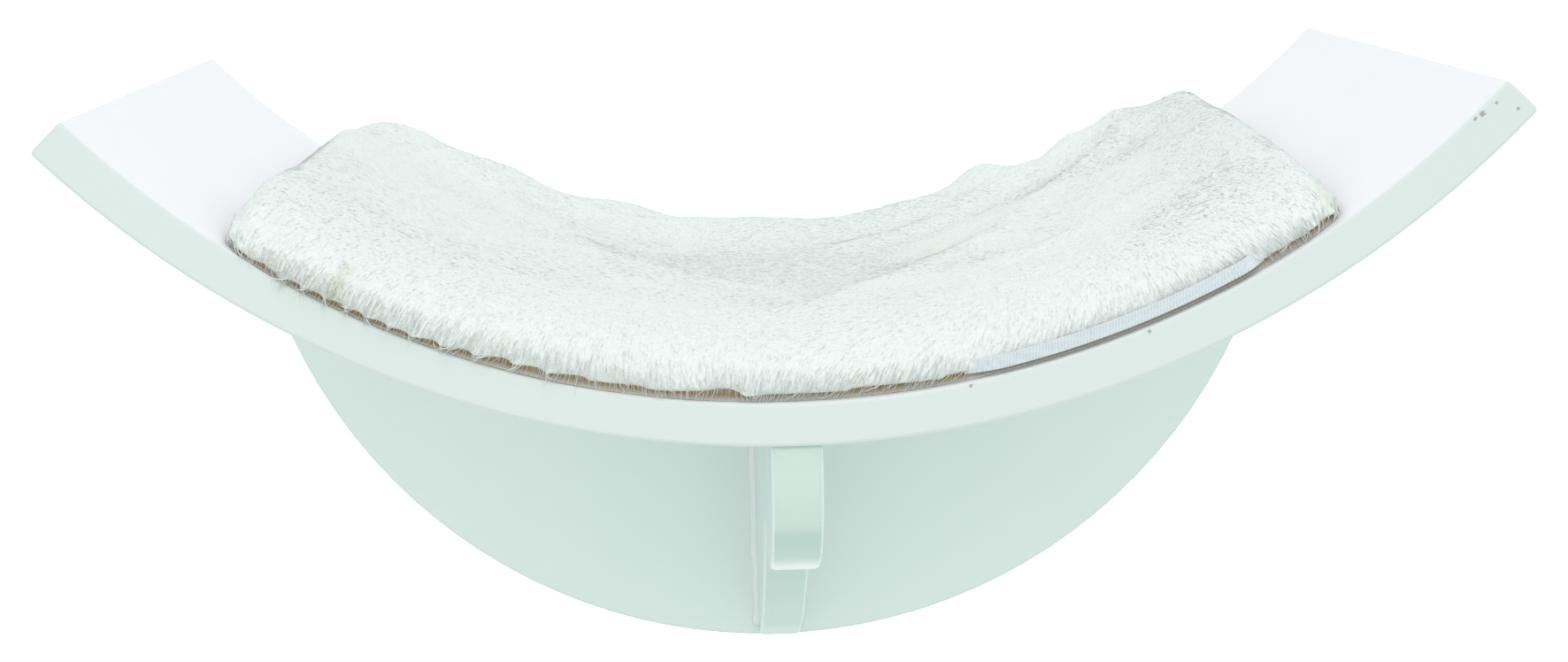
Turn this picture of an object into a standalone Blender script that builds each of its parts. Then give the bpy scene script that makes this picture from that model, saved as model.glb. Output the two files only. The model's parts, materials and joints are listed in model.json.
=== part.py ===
"""Cat wall shelf: a bent board on a half-moon wall plate and a lobed fin, with a plush cushion lying in it.

Metres, +Z up. The wall is the plane y = 0 and the shelf stands out from it towards -y. The origin is on the
wall plate's rear face, on its centre line, half way up. The board is an arc about a level axis that is square
to the wall, so most places are given as an angle and a radius about that axis.
"""

import math

import bmesh
import bpy
from mathutils import Matrix, Vector

# Fits and cuts
FIT_GAP = 0.0003
CUT_OVERRUN = 0.002
MERGE_DISTANCE = 0.00001
SHARP_ANGLE = math.radians(35)

# Shelf board
SHELF_WIDTH = 0.420
SHELF_DEPTH = 0.280
SHELF_THICKNESS = 0.0125
SHELF_HALF_ANGLE = math.radians(46)
SHELF_EDGE_ROUNDING = 0.0012
SHELF_STEPS = 60

# Wall plate: part of a disc, its top hollowed to the board's underside
PLATE_RADIUS = 0.1895
PLATE_HEIGHT = 0.1215
PLATE_THICKNESS = 0.015
PLATE_EDGE_ROUNDING = 0.001
PLATE_RIM_STEPS = 56
PLATE_TOP_STEPS = 48

# Support fin: an upper lobe, a hollow and a lower lobe
FIN_THICKNESS = 0.015
FIN_SETBACK = 0.005
FIN_EDGE_ROUNDING = 0.0015
UPPER_LOBE_BROW = 0.005
UPPER_LOBE_DEPTH = 0.085
UPPER_LOBE_HEIGHT = 0.047
HOLLOW_WIDTH = 0.044
HOLLOW_DROP = 0.006
HOLLOW_RISE = 0.009
LOWER_LOBE_BULGE = 0.006
LOBE_STEPS = 14
HOLLOW_STEPS = 8

# Glue bead in each corner between fin and plate
BEAD_WIDTH = 0.003
BEAD_STOP = 0.004
BEAD_STEPS = 4

# Dowels
DOWEL_DIAMETER = 0.008
DOWEL_LENGTH = 0.028
DOWEL_CHAMFER = 0.0008
DOWEL_SHELF_SHARE = 0.62
DOWEL_PLATE_SHARE = 0.62
FIN_DOWEL_SHARES = (0.17, 0.43, 0.69)
PLATE_DOWEL_ANGLES = tuple(math.radians(degrees) for degrees in (-27, -12, 12, 27))
LOCATING_DOWEL_SHARE = 0.5
ROUND_SIDES = 16

# Screws from the wall side through the plate into the fin
REAR_SCREW_DIAMETER = 0.005
REAR_SCREW_HEAD = 0.0098
REAR_SCREW_LENGTH = 0.050
REAR_SCREW_SHARES = (0.2, 0.76)
SCREW_SINK = 0.0005
SCREW_RIM_SHARE = 0.12
SCREW_POINT_SHARE = 1.4
RECESS_SPAN_SHARE = 0.56
RECESS_SLOT_SHARE = 0.14
RECESS_DEPTH_SHARE = 0.42

# Keyhole hangers let into the plate's rear face
HANGER_SPREAD = 0.220
HANGER_WIDTH = 0.016
HANGER_HEIGHT = 0.046
HANGER_THICKNESS = 0.0015
HANGER_CORNER = 0.003
KEYHOLE_ENTRY = 0.0092
KEYHOLE_SLOT = 0.0048
KEYHOLE_TRAVEL = 0.010
POCKET_DEPTH = 0.0055
POCKET_MARGIN = 0.0012
HANGER_SCREW_DIAMETER = 0.003
HANGER_SCREW_HEAD = 0.0058
HANGER_SCREW_EDGE = 0.0055
HANGER_SCREW_COVER = 0.003
KEYHOLE_STEPS = 12
CORNER_STEPS = 4

# Hook and loop strips between board and cushion
STRIP_WIDTH = 0.025
STRIP_LENGTH = 0.200
HOOK_THICKNESS = 0.0015
LOOP_THICKNESS = 0.0015
STRIP_ANGLES = tuple(math.radians(degrees) for degrees in (-23, 0, 23))
STRIP_STEPS = 4

# Cushion plan, measured along the seat and out from the wall
CUSHION_LENGTH = 0.334
CUSHION_DEPTH = 0.266
CUSHION_FRONT_MARGIN = 0.002
CUSHION_SKEW = 0.003
CUSHION_PULL_IN = 0.002
FRONT_CORNER_POWER = 20
REAR_CORNER_POWER = 8

# Cushion heights, above the base cloth
BASE_CLOTH_THICKNESS = 0.001
BASE_CLOTH_INSET = 0.005
CUSHION_HEIGHT = 0.0155
SEAM_HEIGHT = 0.005
EDGE_ROUND = 0.014
LIP_INSET = 0.004
COVER_PILE = 0.004
COVER_WALL = 0.006
WADDING_GAP = 0.0008

# Cushion crown: rolls along front and rear, and a fan-shaped hollow that opens from the front to the rear
ROLL_RISE = 0.003
ROLL_WIDTH = 0.020
FAN_DEPTH = 0.006
FAN_APEX_SHARE = 0.13
FAN_RUN_IN = 0.045
FAN_LEFT = math.radians(-30)
FAN_RIGHT = math.radians(36)
FAN_SOFTNESS = math.radians(14)
RIDGE_RISE = 0.0018
RIDGE_WIDTH = 0.010
COVER_GRID = (30, 22)
INNER_GRID = (14, 10)
CLOTH_GRID = (24, 6)
GRID_CROWDING_SHARE = 0.7

# Places that follow from the sizes
SHELF_RADIUS = SHELF_WIDTH / (2 * math.sin(SHELF_HALF_ANGLE))
SEAT_RADIUS = SHELF_RADIUS - SHELF_THICKNESS
AXIS_HEIGHT = SHELF_RADIUS + PLATE_HEIGHT / 2
PLATE_BOTTOM = -SHELF_RADIUS - PLATE_HEIGHT
PLATE_CENTRE = PLATE_BOTTOM + PLATE_RADIUS
PLATE_TOP_RADIUS = SHELF_RADIUS + FIT_GAP
FIN_TOP = -SHELF_RADIUS - FIT_GAP
FIN_FRONT = -SHELF_DEPTH + FIN_SETBACK
FIN_REAR = -PLATE_THICKNESS - FIT_GAP
HOOK_BASE = FIT_GAP
LOOP_BASE = HOOK_BASE + HOOK_THICKNESS + FIT_GAP
CLOTH_BASE = LOOP_BASE + LOOP_THICKNESS + FIT_GAP
CUSHION_BASE = CLOTH_BASE + BASE_CLOTH_THICKNESS + FIT_GAP
CUSHION_FRONT = -SHELF_DEPTH + CUSHION_FRONT_MARGIN
CUSHION_MIDDLE = CUSHION_FRONT + CUSHION_DEPTH / 2

AXIS_PLACE = Vector((0, 0, AXIS_HEIGHT))
TOWARDS_WALL = Vector((0, 1, 0))
UP = Vector((0, 0, 1))


# Scene helpers


def clear_scene():
    for obj in list(bpy.data.objects):
        bpy.data.objects.remove(obj, do_unlink=True)


def finish_material(name, colour, roughness, metallic=0.0):
    material = bpy.data.materials.new(name)
    material.use_nodes = True
    shader = material.node_tree.nodes["Principled BSDF"]
    shader.inputs["Base Color"].default_value = (*colour, 1.0)
    shader.inputs["Roughness"].default_value = roughness
    shader.inputs["Metallic"].default_value = metallic
    material.diffuse_color = (*colour, 1.0)
    return material


def lacquer():
    return finish_material("white_lacquer", (0.80, 0.86, 0.83), 0.32)


def glue():
    return finish_material("glue_bead", (0.82, 0.84, 0.82), 0.55)


def beech():
    return finish_material("dowel_beech", (0.62, 0.45, 0.27), 0.65)


def plated_steel():
    return finish_material("plated_steel", (0.62, 0.62, 0.60), 0.35, 1.0)


def hook_tape():
    return finish_material("hook_tape", (0.70, 0.66, 0.55), 0.8)


def loop_tape():
    return finish_material("loop_tape", (0.78, 0.84, 0.88), 0.9)


def base_cloth_fabric():
    return finish_material("base_cloth", (0.76, 0.83, 0.86), 0.9)


def wadding():
    return finish_material("wadding", (0.88, 0.88, 0.86), 0.95)


def plush():
    return finish_material("plush", (0.84, 0.88, 0.84), 0.95)


def add_object(name, bm, material, place=Matrix(), parent=None):
    """Makes an object of a bmesh at a place, which under a parent is measured from that parent."""
    bmesh.ops.recalc_face_normals(bm, faces=bm.faces[:])
    mesh = bpy.data.meshes.new(name)
    bm.to_mesh(mesh)
    bm.free()
    mesh.shade_smooth()
    mesh.set_sharp_from_angle(angle=SHARP_ANGLE)
    if material:
        mesh.materials.append(material)
    obj = bpy.data.objects.new(name, mesh)
    bpy.context.scene.collection.objects.link(obj)
    obj.parent = parent
    obj.matrix_basis = place
    return obj


def add_cutter(name, bm, place):
    cutter = add_object(name, bm, None, place)
    cutter.hide_render = True
    cutter.display_type = "WIRE"
    return cutter


def cut(obj, cutter):
    modifier = obj.modifiers.new("cut_" + cutter.name, "BOOLEAN")
    modifier.operation = "DIFFERENCE"
    modifier.object = cutter


def round_edges(obj, width, segments=2):
    modifier = obj.modifiers.new("rounded_edges", "BEVEL")
    modifier.width = width
    modifier.segments = segments
    modifier.limit_method = "ANGLE"
    modifier.angle_limit = SHARP_ANGLE


def pointing(place, direction):
    """The place of a piece whose own +Z runs along a direction."""
    return Matrix.Translation(place) @ direction.to_track_quat("Z", "Y").to_matrix().to_4x4()


# Shape helpers


def on_arc(radius, angle, y):
    """A point about the board's axis, with the angle measured from straight down towards +X."""
    return Vector((radius * math.sin(angle), y, -radius * math.cos(angle)))


def below_axis(radius, angle, y):
    return AXIS_PLACE + on_arc(radius, angle, y)


def shares_between(steps):
    return [step / steps for step in range(steps + 1)]


def smooth_step(value):
    value = min(max(value, 0.0), 1.0)
    return value * value * (3 - 2 * value)


def arc_slab(inner_radius, outer_radius, start, end, front, rear, steps):
    """A length of curved sheet: its cross section, spun about the board's axis."""
    bm = bmesh.new()
    corners = ((inner_radius, front), (outer_radius, front), (outer_radius, rear), (inner_radius, rear))
    face = bm.faces.new([bm.verts.new(on_arc(radius, start, y)) for radius, y in corners])
    bmesh.ops.spin(
        bm,
        geom=[face, *face.edges, *face.verts],
        cent=(0, 0, 0),
        axis=(0, 1, 0),
        dvec=(0, 0, 0),
        angle=start - end,
        steps=steps,
        use_merge=False,
    )
    return bm


def extruded(points, along):
    """A flat outline, given a thickness along a vector."""
    bm = bmesh.new()
    face = bm.faces.new([bm.verts.new(point) for point in points])
    grown = bmesh.ops.extrude_face_region(bm, geom=[face])
    moved = [item for item in grown["geom"] if isinstance(item, bmesh.types.BMVert)]
    bmesh.ops.translate(bm, vec=along, verts=moved)
    return bm


def turned(profile, sides=ROUND_SIDES):
    """A profile of (radius, height) turned about Z. Its ends lie on the axis."""
    bm = bmesh.new()
    points = [bm.verts.new((radius, 0, height)) for radius, height in profile]
    edges = [bm.edges.new(pair) for pair in zip(points, points[1:])]
    bmesh.ops.spin(
        bm,
        geom=[*points, *edges],
        cent=(0, 0, 0),
        axis=(0, 0, 1),
        dvec=(0, 0, 0),
        angle=2 * math.pi,
        steps=sides,
        use_merge=True,
    )
    bmesh.ops.remove_doubles(bm, verts=bm.verts[:], dist=MERGE_DISTANCE)
    return bm


def sagging_arc(start, end, bulge, steps):
    """Points of a shallow arc from start to end in the y, z plane, without its start. A bulge over zero
    stands out on the side that is left of the way from start to end."""
    run = end - start
    across = Vector((-run.y, run.x)).normalized()
    points = []
    for share in shares_between(steps)[1:]:
        points.append(start + run * share + across * bulge * 4 * share * (1 - share))
    return points


# Board, plate and fin


def make_shelf(material):
    bm = arc_slab(
        SEAT_RADIUS, SHELF_RADIUS, -SHELF_HALF_ANGLE, SHELF_HALF_ANGLE, -SHELF_DEPTH, 0, SHELF_STEPS
    )
    shelf = add_object("curved_shelf", bm, material, Matrix.Translation(AXIS_PLACE))
    round_edges(shelf, SHELF_EDGE_ROUNDING)
    return shelf


def plate_joint():
    """Where the plate's rim meets the board's underside on the right: x and z from the board's axis."""
    apart = -PLATE_CENTRE
    rise = (apart**2 + PLATE_RADIUS**2 - PLATE_TOP_RADIUS**2) / (2 * apart)
    return math.sqrt(PLATE_RADIUS**2 - rise**2), PLATE_CENTRE + rise


def plate_bottom_at(x):
    return PLATE_CENTRE - math.sqrt(PLATE_RADIUS**2 - x**2)


def make_plate(material):
    joint_x, joint_z = plate_joint()
    rim_turn = math.atan2(joint_x, PLATE_CENTRE - joint_z)
    top_turn = math.asin(joint_x / PLATE_TOP_RADIUS)
    outline = []
    for share in shares_between(PLATE_RIM_STEPS):
        turn = rim_turn * (1 - 2 * share)
        outline.append((PLATE_RADIUS * math.sin(turn), 0, PLATE_CENTRE - PLATE_RADIUS * math.cos(turn)))
    for share in shares_between(PLATE_TOP_STEPS)[1:-1]:
        outline.append(on_arc(PLATE_TOP_RADIUS, top_turn * (2 * share - 1), 0))
    bm = extruded(outline, -TOWARDS_WALL * PLATE_THICKNESS)
    plate = add_object("wall_plate", bm, material, Matrix.Translation(AXIS_PLACE))
    round_edges(plate, PLATE_EDGE_ROUNDING, 1)
    return plate


def fin_outline():
    """The fin's side view, as (y, z) from the board's axis, from the top of its front edge downwards."""
    brow = Vector((FIN_FRONT, FIN_TOP - UPPER_LOBE_BROW))
    lobe_centre = Vector((FIN_FRONT + UPPER_LOBE_DEPTH, brow.y))
    points = [Vector((FIN_FRONT, FIN_TOP)), brow]
    for share in shares_between(LOBE_STEPS)[1:]:
        turn = share * math.pi / 2
        reach = Vector((-UPPER_LOBE_DEPTH * math.cos(turn), -UPPER_LOBE_HEIGHT * math.sin(turn)))
        points.append(lobe_centre + reach)
    hollow_end = points[-1] + Vector((HOLLOW_WIDTH, -HOLLOW_DROP))
    points += sagging_arc(points[-1], hollow_end, HOLLOW_RISE, HOLLOW_STEPS)
    points += sagging_arc(hollow_end, Vector((FIN_REAR, PLATE_BOTTOM)), -LOWER_LOBE_BULGE, LOBE_STEPS)
    points.append(Vector((FIN_REAR, FIN_TOP)))
    return points


def make_fin(material):
    outline = [(-FIN_THICKNESS / 2, point.x, point.y) for point in fin_outline()]
    bm = extruded(outline, (FIN_THICKNESS, 0, 0))
    fin = add_object("support_fin", bm, material, Matrix.Translation(AXIS_PLACE))
    round_edges(fin, FIN_EDGE_ROUNDING)
    return fin


def make_beads(material):
    length = FIN_TOP - (PLATE_BOTTOM + BEAD_STOP)
    for side, name in ((-1, "glue_bead_left"), (1, "glue_bead_right")):
        corner = Vector((side * (FIN_THICKNESS / 2 + FIT_GAP), FIN_REAR, FIN_TOP))
        outline = [corner]
        for share in shares_between(BEAD_STEPS):
            turn = share * math.pi / 2
            reach = (side * BEAD_WIDTH * math.cos(turn), -BEAD_WIDTH * math.sin(turn), 0)
            outline.append(corner + Vector(reach))
        add_object(name, extruded(outline, -UP * length), material, Matrix.Translation(AXIS_PLACE))


# Dowels and screws


def make_dowel(name, place, direction, material, holders):
    """A dowel from a place along a direction, and its hole in the two pieces that hold it."""
    radius = DOWEL_DIAMETER / 2
    small = radius - DOWEL_CHAMFER
    full = DOWEL_LENGTH - DOWEL_CHAMFER
    profile = (
        (0, 0),
        (small, 0),
        (radius, DOWEL_CHAMFER),
        (radius, full),
        (small, DOWEL_LENGTH),
        (0, DOWEL_LENGTH),
    )
    at = pointing(place, direction)
    add_object(name, turned(profile), material, at)
    wide = radius + FIT_GAP
    deep = DOWEL_LENGTH + FIT_GAP
    hole = turned(((0, -FIT_GAP), (wide, -FIT_GAP), (wide, deep), (0, deep)))
    cutter = add_cutter(name + "_hole", hole, at)
    for holder in holders:
        cut(holder, cutter)


def make_dowels(shelf, plate, fin, material):
    in_shelf = SHELF_THICKNESS * DOWEL_SHELF_SHARE
    fin_run = FIN_REAR - FIN_FRONT
    for name, share in zip(("front", "middle", "rear"), FIN_DOWEL_SHARES):
        place = below_axis(SHELF_RADIUS - in_shelf, 0, FIN_FRONT + fin_run * share)
        make_dowel("fin_dowel_" + name, place, -UP, material, (shelf, fin))
    for name, angle in zip(("far_left", "left", "right", "far_right"), PLATE_DOWEL_ANGLES):
        place = below_axis(SHELF_RADIUS - in_shelf, angle, -PLATE_THICKNESS / 2)
        make_dowel("plate_dowel_" + name, place, on_arc(1, angle, 0), material, (shelf, plate))
    height = -SHELF_RADIUS - PLATE_HEIGHT * LOCATING_DOWEL_SHARE
    place = AXIS_PLACE + Vector((0, -PLATE_THICKNESS + PLATE_THICKNESS * DOWEL_PLATE_SHARE, height))
    make_dowel("locating_dowel", place, -TOWARDS_WALL, material, (plate, fin))


def screw_profile(head, shank, length, gap, top):
    """The side of a countersunk screw, or with a gap that of its hole, from the head's top downwards."""
    head_radius = head / 2 + gap
    shank_radius = shank / 2 + gap
    rim = -head * SCREW_RIM_SHARE
    neck = rim - (head - shank) / 2
    point = -length - gap
    shoulder = point + shank_radius * SCREW_POINT_SHARE
    return (
        (0, top),
        (head_radius, top),
        (head_radius, rim),
        (shank_radius, neck),
        (shank_radius, shoulder),
        (0, point),
    )


def cross_recess(head):
    """A cross to be sunk in a screw's head, standing on its floor."""
    arm = head * RECESS_SPAN_SHARE / 2
    slot = head * RECESS_SLOT_SHARE / 2
    floor = -head * RECESS_DEPTH_SHARE
    quarter = (Vector((arm, slot, floor)), Vector((slot, slot, floor)), Vector((slot, arm, floor)))
    outline = []
    for turn in range(4):
        turned_on = Matrix.Rotation(turn * math.pi / 2, 3, "Z")
        outline += [turned_on @ point for point in quarter]
    return extruded(outline, UP * (CUT_OVERRUN - floor))


def make_screw(name, place, head, shank, length, material, holders):
    """A countersunk screw driven away from the wall, and its hole in the pieces that it joins."""
    at = pointing(place, TOWARDS_WALL)
    screw = add_object(name, turned(screw_profile(head, shank, length, 0, 0)), material, at)
    cut(screw, add_cutter(name + "_recess", cross_recess(head), at))
    hole = turned(screw_profile(head, shank, length, FIT_GAP, CUT_OVERRUN))
    cutter = add_cutter(name + "_hole", hole, at)
    for holder in holders:
        cut(holder, cutter)


def make_rear_screws(plate, fin, material):
    for name, share in zip(("upper", "lower"), REAR_SCREW_SHARES):
        place = AXIS_PLACE + Vector((0, -SCREW_SINK, -SHELF_RADIUS - PLATE_HEIGHT * share))
        make_screw(
            "rear_screw_" + name,
            place,
            REAR_SCREW_HEAD,
            REAR_SCREW_DIAMETER,
            REAR_SCREW_LENGTH,
            material,
            (plate, fin),
        )


# Keyhole hangers


def hanger_place(side):
    """The middle of a hanger's rear face, half way between the board and the plate's rim."""
    x = side * HANGER_SPREAD / 2
    top = -math.sqrt(SHELF_RADIUS**2 - x**2)
    return AXIS_PLACE + Vector((x, 0, (top + plate_bottom_at(x)) / 2))


def rounded_box(width, height, depth, corner):
    """A plate with rounded corners in x and z, its rear face on y = 0 and its thickness along -y."""
    half_width = width / 2 - corner
    half_height = height / 2 - corner
    centres = (
        (half_width, half_height),
        (-half_width, half_height),
        (-half_width, -half_height),
        (half_width, -half_height),
    )
    outline = []
    for quarter, (x, z) in enumerate(centres):
        for share in shares_between(CORNER_STEPS):
            turn = (quarter + share) * math.pi / 2
            outline.append((x + corner * math.cos(turn), 0, z + corner * math.sin(turn)))
    return extruded(outline, -TOWARDS_WALL * depth)


def keyhole_outline(y):
    """A round entry at the bottom and a slot that runs up from it."""
    entry = KEYHOLE_ENTRY / 2
    slot = KEYHOLE_SLOT / 2
    mouth = math.asin(slot / entry)
    points = []
    for share in shares_between(KEYHOLE_STEPS):
        turn = mouth + share * 2 * (math.pi - mouth)
        points.append((entry * math.sin(turn), y, entry * math.cos(turn) - KEYHOLE_TRAVEL / 2))
    for share in shares_between(KEYHOLE_STEPS // 2):
        turn = share * math.pi
        points.append((-slot * math.cos(turn), y, slot * math.sin(turn) + KEYHOLE_TRAVEL / 2))
    return points


def make_hanger(side, side_name, plate, material):
    place = hanger_place(side)
    at = Matrix.Translation(place)
    bm = rounded_box(HANGER_WIDTH, HANGER_HEIGHT, HANGER_THICKNESS, HANGER_CORNER)
    hanger = add_object("keyhole_hanger_" + side_name, bm, material, at)
    through = HANGER_THICKNESS + 2 * CUT_OVERRUN
    keyhole = extruded(keyhole_outline(CUT_OVERRUN), -TOWARDS_WALL * through)
    cut(hanger, add_cutter("keyhole_" + side_name, keyhole, at))

    outside = Matrix.Translation(place + TOWARDS_WALL * CUT_OVERRUN)
    recess = rounded_box(
        HANGER_WIDTH + 2 * FIT_GAP,
        HANGER_HEIGHT + 2 * FIT_GAP,
        CUT_OVERRUN + HANGER_THICKNESS + FIT_GAP,
        HANGER_CORNER + FIT_GAP,
    )
    cut(plate, add_cutter("hanger_recess_" + side_name, recess, outside))
    pocket_width = KEYHOLE_ENTRY + 2 * POCKET_MARGIN
    pocket = rounded_box(
        pocket_width,
        pocket_width + KEYHOLE_TRAVEL,
        CUT_OVERRUN + HANGER_THICKNESS + POCKET_DEPTH,
        pocket_width / 2 - FIT_GAP,
    )
    cut(plate, add_cutter("head_pocket_" + side_name, pocket, outside))

    length = PLATE_THICKNESS - HANGER_SCREW_COVER
    for end, end_name in ((1, "upper"), (-1, "lower")):
        offset = UP * end * (HANGER_HEIGHT / 2 - HANGER_SCREW_EDGE)
        make_screw(
            f"hanger_screw_{side_name}_{end_name}",
            place + offset,
            HANGER_SCREW_HEAD,
            HANGER_SCREW_DIAMETER,
            length,
            material,
            (plate, hanger),
        )


# Hook and loop strips


def make_strips(kind, base, thickness, material, parent, parent_place):
    """Three strips along the depth of the seat, at a height above it."""
    half_turn = STRIP_WIDTH / (2 * SEAT_RADIUS)
    outer = SEAT_RADIUS - base
    at = Matrix.Translation(AXIS_PLACE - parent_place)
    for name, angle in zip(("left", "middle", "right"), STRIP_ANGLES):
        bm = arc_slab(
            outer - thickness,
            outer,
            angle - half_turn,
            angle + half_turn,
            CUSHION_MIDDLE - STRIP_LENGTH / 2,
            CUSHION_MIDDLE + STRIP_LENGTH / 2,
            STRIP_STEPS,
        )
        add_object(f"{kind}_strip_{name}", bm, material, at, parent)


# Cushion


def cushion_plan(across, back, inset):
    """Where a point of the unit square, -1 to 1 each way, lies on the cushion's plan: its run along the seat
    from the middle, and its depth behind the cushion's front edge."""
    reach = max(abs(across), abs(back))
    power = FRONT_CORNER_POWER + (REAR_CORNER_POWER - FRONT_CORNER_POWER) * (1 + back) / 2
    spread = (abs(across) ** power + abs(back) ** power) ** (1 / power)
    rounding = reach / spread if spread else 1.0
    half_length = CUSHION_LENGTH / 2 - inset
    half_depth = CUSHION_DEPTH / 2 - inset
    pull = CUSHION_PULL_IN * (1 - back * back) * across**3
    skew = CUSHION_SKEW * back * (1 + across) / 2
    run = across * rounding * half_length - pull + skew
    depth = CUSHION_DEPTH / 2 + back * rounding * half_depth
    return run, depth


def crown_height(run, depth):
    """The cushion's top above the base cloth, away from its edges."""
    front_roll = math.exp(-(((depth - ROLL_WIDTH) / ROLL_WIDTH) ** 2))
    rear_roll = math.exp(-(((CUSHION_DEPTH - depth - ROLL_WIDTH) / ROLL_WIDTH) ** 2))
    behind = depth - FAN_APEX_SHARE * CUSHION_DEPTH
    away = math.hypot(run, behind)
    bearing = math.atan2(run, behind)
    opening = smooth_step(away / FAN_RUN_IN)
    left = smooth_step((bearing - FAN_LEFT) / FAN_SOFTNESS)
    right = smooth_step((FAN_RIGHT - bearing) / FAN_SOFTNESS)
    hollow = FAN_DEPTH * opening * left * right * (1 - rear_roll)
    ridges = 0.0
    for line in (FAN_LEFT, FAN_RIGHT):
        if behind > 0:
            beside = away * math.sin(bearing - line)
            ridges += opening * math.exp(-((beside / RIDGE_WIDTH) ** 2))
    return CUSHION_HEIGHT + ROLL_RISE * (front_roll + rear_roll) - hollow + RIDGE_RISE * ridges


def crowd(share):
    """Moves a grid line of the unit square towards its edge, where the form curves most."""
    crowded = math.sin(share * math.pi / 2)
    return share + (crowded - share) * GRID_CROWDING_SHARE


def seat_point(run, depth, height):
    return on_arc(SEAT_RADIUS - height, run / SEAT_RADIUS, CUSHION_FRONT + depth)


def domed_grid(bm, grid, inset, edge_height, lowered):
    """A crowned sheet over the cushion's plan. Its edge lies at edge_height and its top at the crown, less
    what it is lowered by. Returns its edge."""
    made = bmesh.ops.create_grid(bm, x_segments=grid[0], y_segments=grid[1], size=1)
    for vert in made["verts"]:
        across = crowd(vert.co.x)
        back = crowd(vert.co.y)
        run, depth = cushion_plan(across, back, inset)
        edge = min((1 - abs(across)) * CUSHION_LENGTH / 2, (1 - abs(back)) * CUSHION_DEPTH / 2)
        short = 1 - min(edge / EDGE_ROUND, 1.0)
        top = crown_height(run, depth) - lowered
        height = edge_height + (top - edge_height) * math.sqrt(1 - short * short)
        vert.co = seat_point(run, depth, CUSHION_BASE + height)
    return list({edge for vert in made["verts"] for edge in vert.link_edges if edge.is_boundary})


def moved_edge(bm, edges, inset, height):
    """Extrudes an edge loop of the cushion to another inset and height, and returns the new loop."""
    grown = bmesh.ops.extrude_edge_only(bm, edges=edges)["geom"]
    for vert in (item for item in grown if isinstance(item, bmesh.types.BMVert)):
        angle = math.atan2(vert.co.x, -vert.co.z) * (1 - 2 * inset / CUSHION_LENGTH)
        beside = (vert.co.y - CUSHION_MIDDLE) * (1 - 2 * inset / CUSHION_DEPTH)
        vert.co = on_arc(SEAT_RADIUS - CUSHION_BASE - height, angle, CUSHION_MIDDLE + beside)
    return [item for item in grown if isinstance(item, bmesh.types.BMEdge)]


def make_cover(material, parent, at):
    """The plush cover: crowned outside, hollow inside, open below where the base cloth closes it."""
    bm = bmesh.new()
    outer_edge = domed_grid(bm, COVER_GRID, 0, SEAM_HEIGHT, 0)
    lip = moved_edge(bm, outer_edge, LIP_INSET, 0)
    inner_edge = domed_grid(bm, INNER_GRID, COVER_WALL, 0, COVER_PILE)
    bmesh.ops.bridge_loops(bm, edges=lip + inner_edge)
    add_object("plush_cover", bm, material, at, parent)


def make_wadding(material, parent, at):
    bm = bmesh.new()
    edge = domed_grid(bm, INNER_GRID, COVER_WALL + WADDING_GAP, 0, COVER_PILE + WADDING_GAP)
    floor = bmesh.ops.create_grid(bm, x_segments=INNER_GRID[0], y_segments=INNER_GRID[1], size=1)
    for vert in floor["verts"]:
        run, depth = cushion_plan(crowd(vert.co.x), crowd(vert.co.y), COVER_WALL + WADDING_GAP)
        vert.co = seat_point(run, depth, CUSHION_BASE)
    bmesh.ops.remove_doubles(bm, verts=bm.verts[:], dist=MERGE_DISTANCE)
    add_object("wadding_pad", bm, material, at, parent)


def make_base_cloth(material, parent, at):
    bm = bmesh.new()
    levels = (CLOTH_BASE, CLOTH_BASE + BASE_CLOTH_THICKNESS)
    edges = []
    for level in levels:
        sheet = bmesh.ops.create_grid(bm, x_segments=CLOTH_GRID[0], y_segments=CLOTH_GRID[1], size=1)
        for vert in sheet["verts"]:
            run, depth = cushion_plan(vert.co.x, crowd(vert.co.y), BASE_CLOTH_INSET)
            vert.co = seat_point(run, depth, level)
        edges += {edge for vert in sheet["verts"] for edge in vert.link_edges if edge.is_boundary}
    bmesh.ops.bridge_loops(bm, edges=edges)
    add_object("base_cloth", bm, material, at, parent)


def cushion_lift():
    """The point that the cushion lifts off from, on the middle of the seat."""
    lift = bpy.data.objects.new("cushion_lift", None)
    bpy.context.scene.collection.objects.link(lift)
    lift.location = below_axis(SEAT_RADIUS, 0, CUSHION_MIDDLE)
    return lift


def main():
    clear_scene()
    white = lacquer()
    wood = beech()
    steel = plated_steel()
    shelf = make_shelf(white)
    plate = make_plate(white)
    fin = make_fin(white)
    make_beads(glue())
    make_dowels(shelf, plate, fin, wood)
    make_rear_screws(plate, fin, steel)
    for side, side_name in ((-1, "left"), (1, "right")):
        make_hanger(side, side_name, plate, steel)
    make_strips("hook", HOOK_BASE, HOOK_THICKNESS, hook_tape(), None, Vector())
    lift = cushion_lift()
    at = Matrix.Translation(AXIS_PLACE - lift.location)
    make_strips("loop", LOOP_BASE, LOOP_THICKNESS, loop_tape(), lift, lift.location)
    make_base_cloth(base_cloth_fabric(), lift, at)
    make_wadding(wadding(), lift, at)
    make_cover(plush(), lift, at)


main()
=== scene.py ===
"""Looks of the cat wall shelf: white lacquer on the bent board, plate and fin, and a plush cushion with its
pile as real hairs. Metres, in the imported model's frame: the wall is y = 0 and the shelf stands out to -y."""

import json
import math

import bmesh
import bpy
from mathutils import Matrix, Vector, noise


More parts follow.
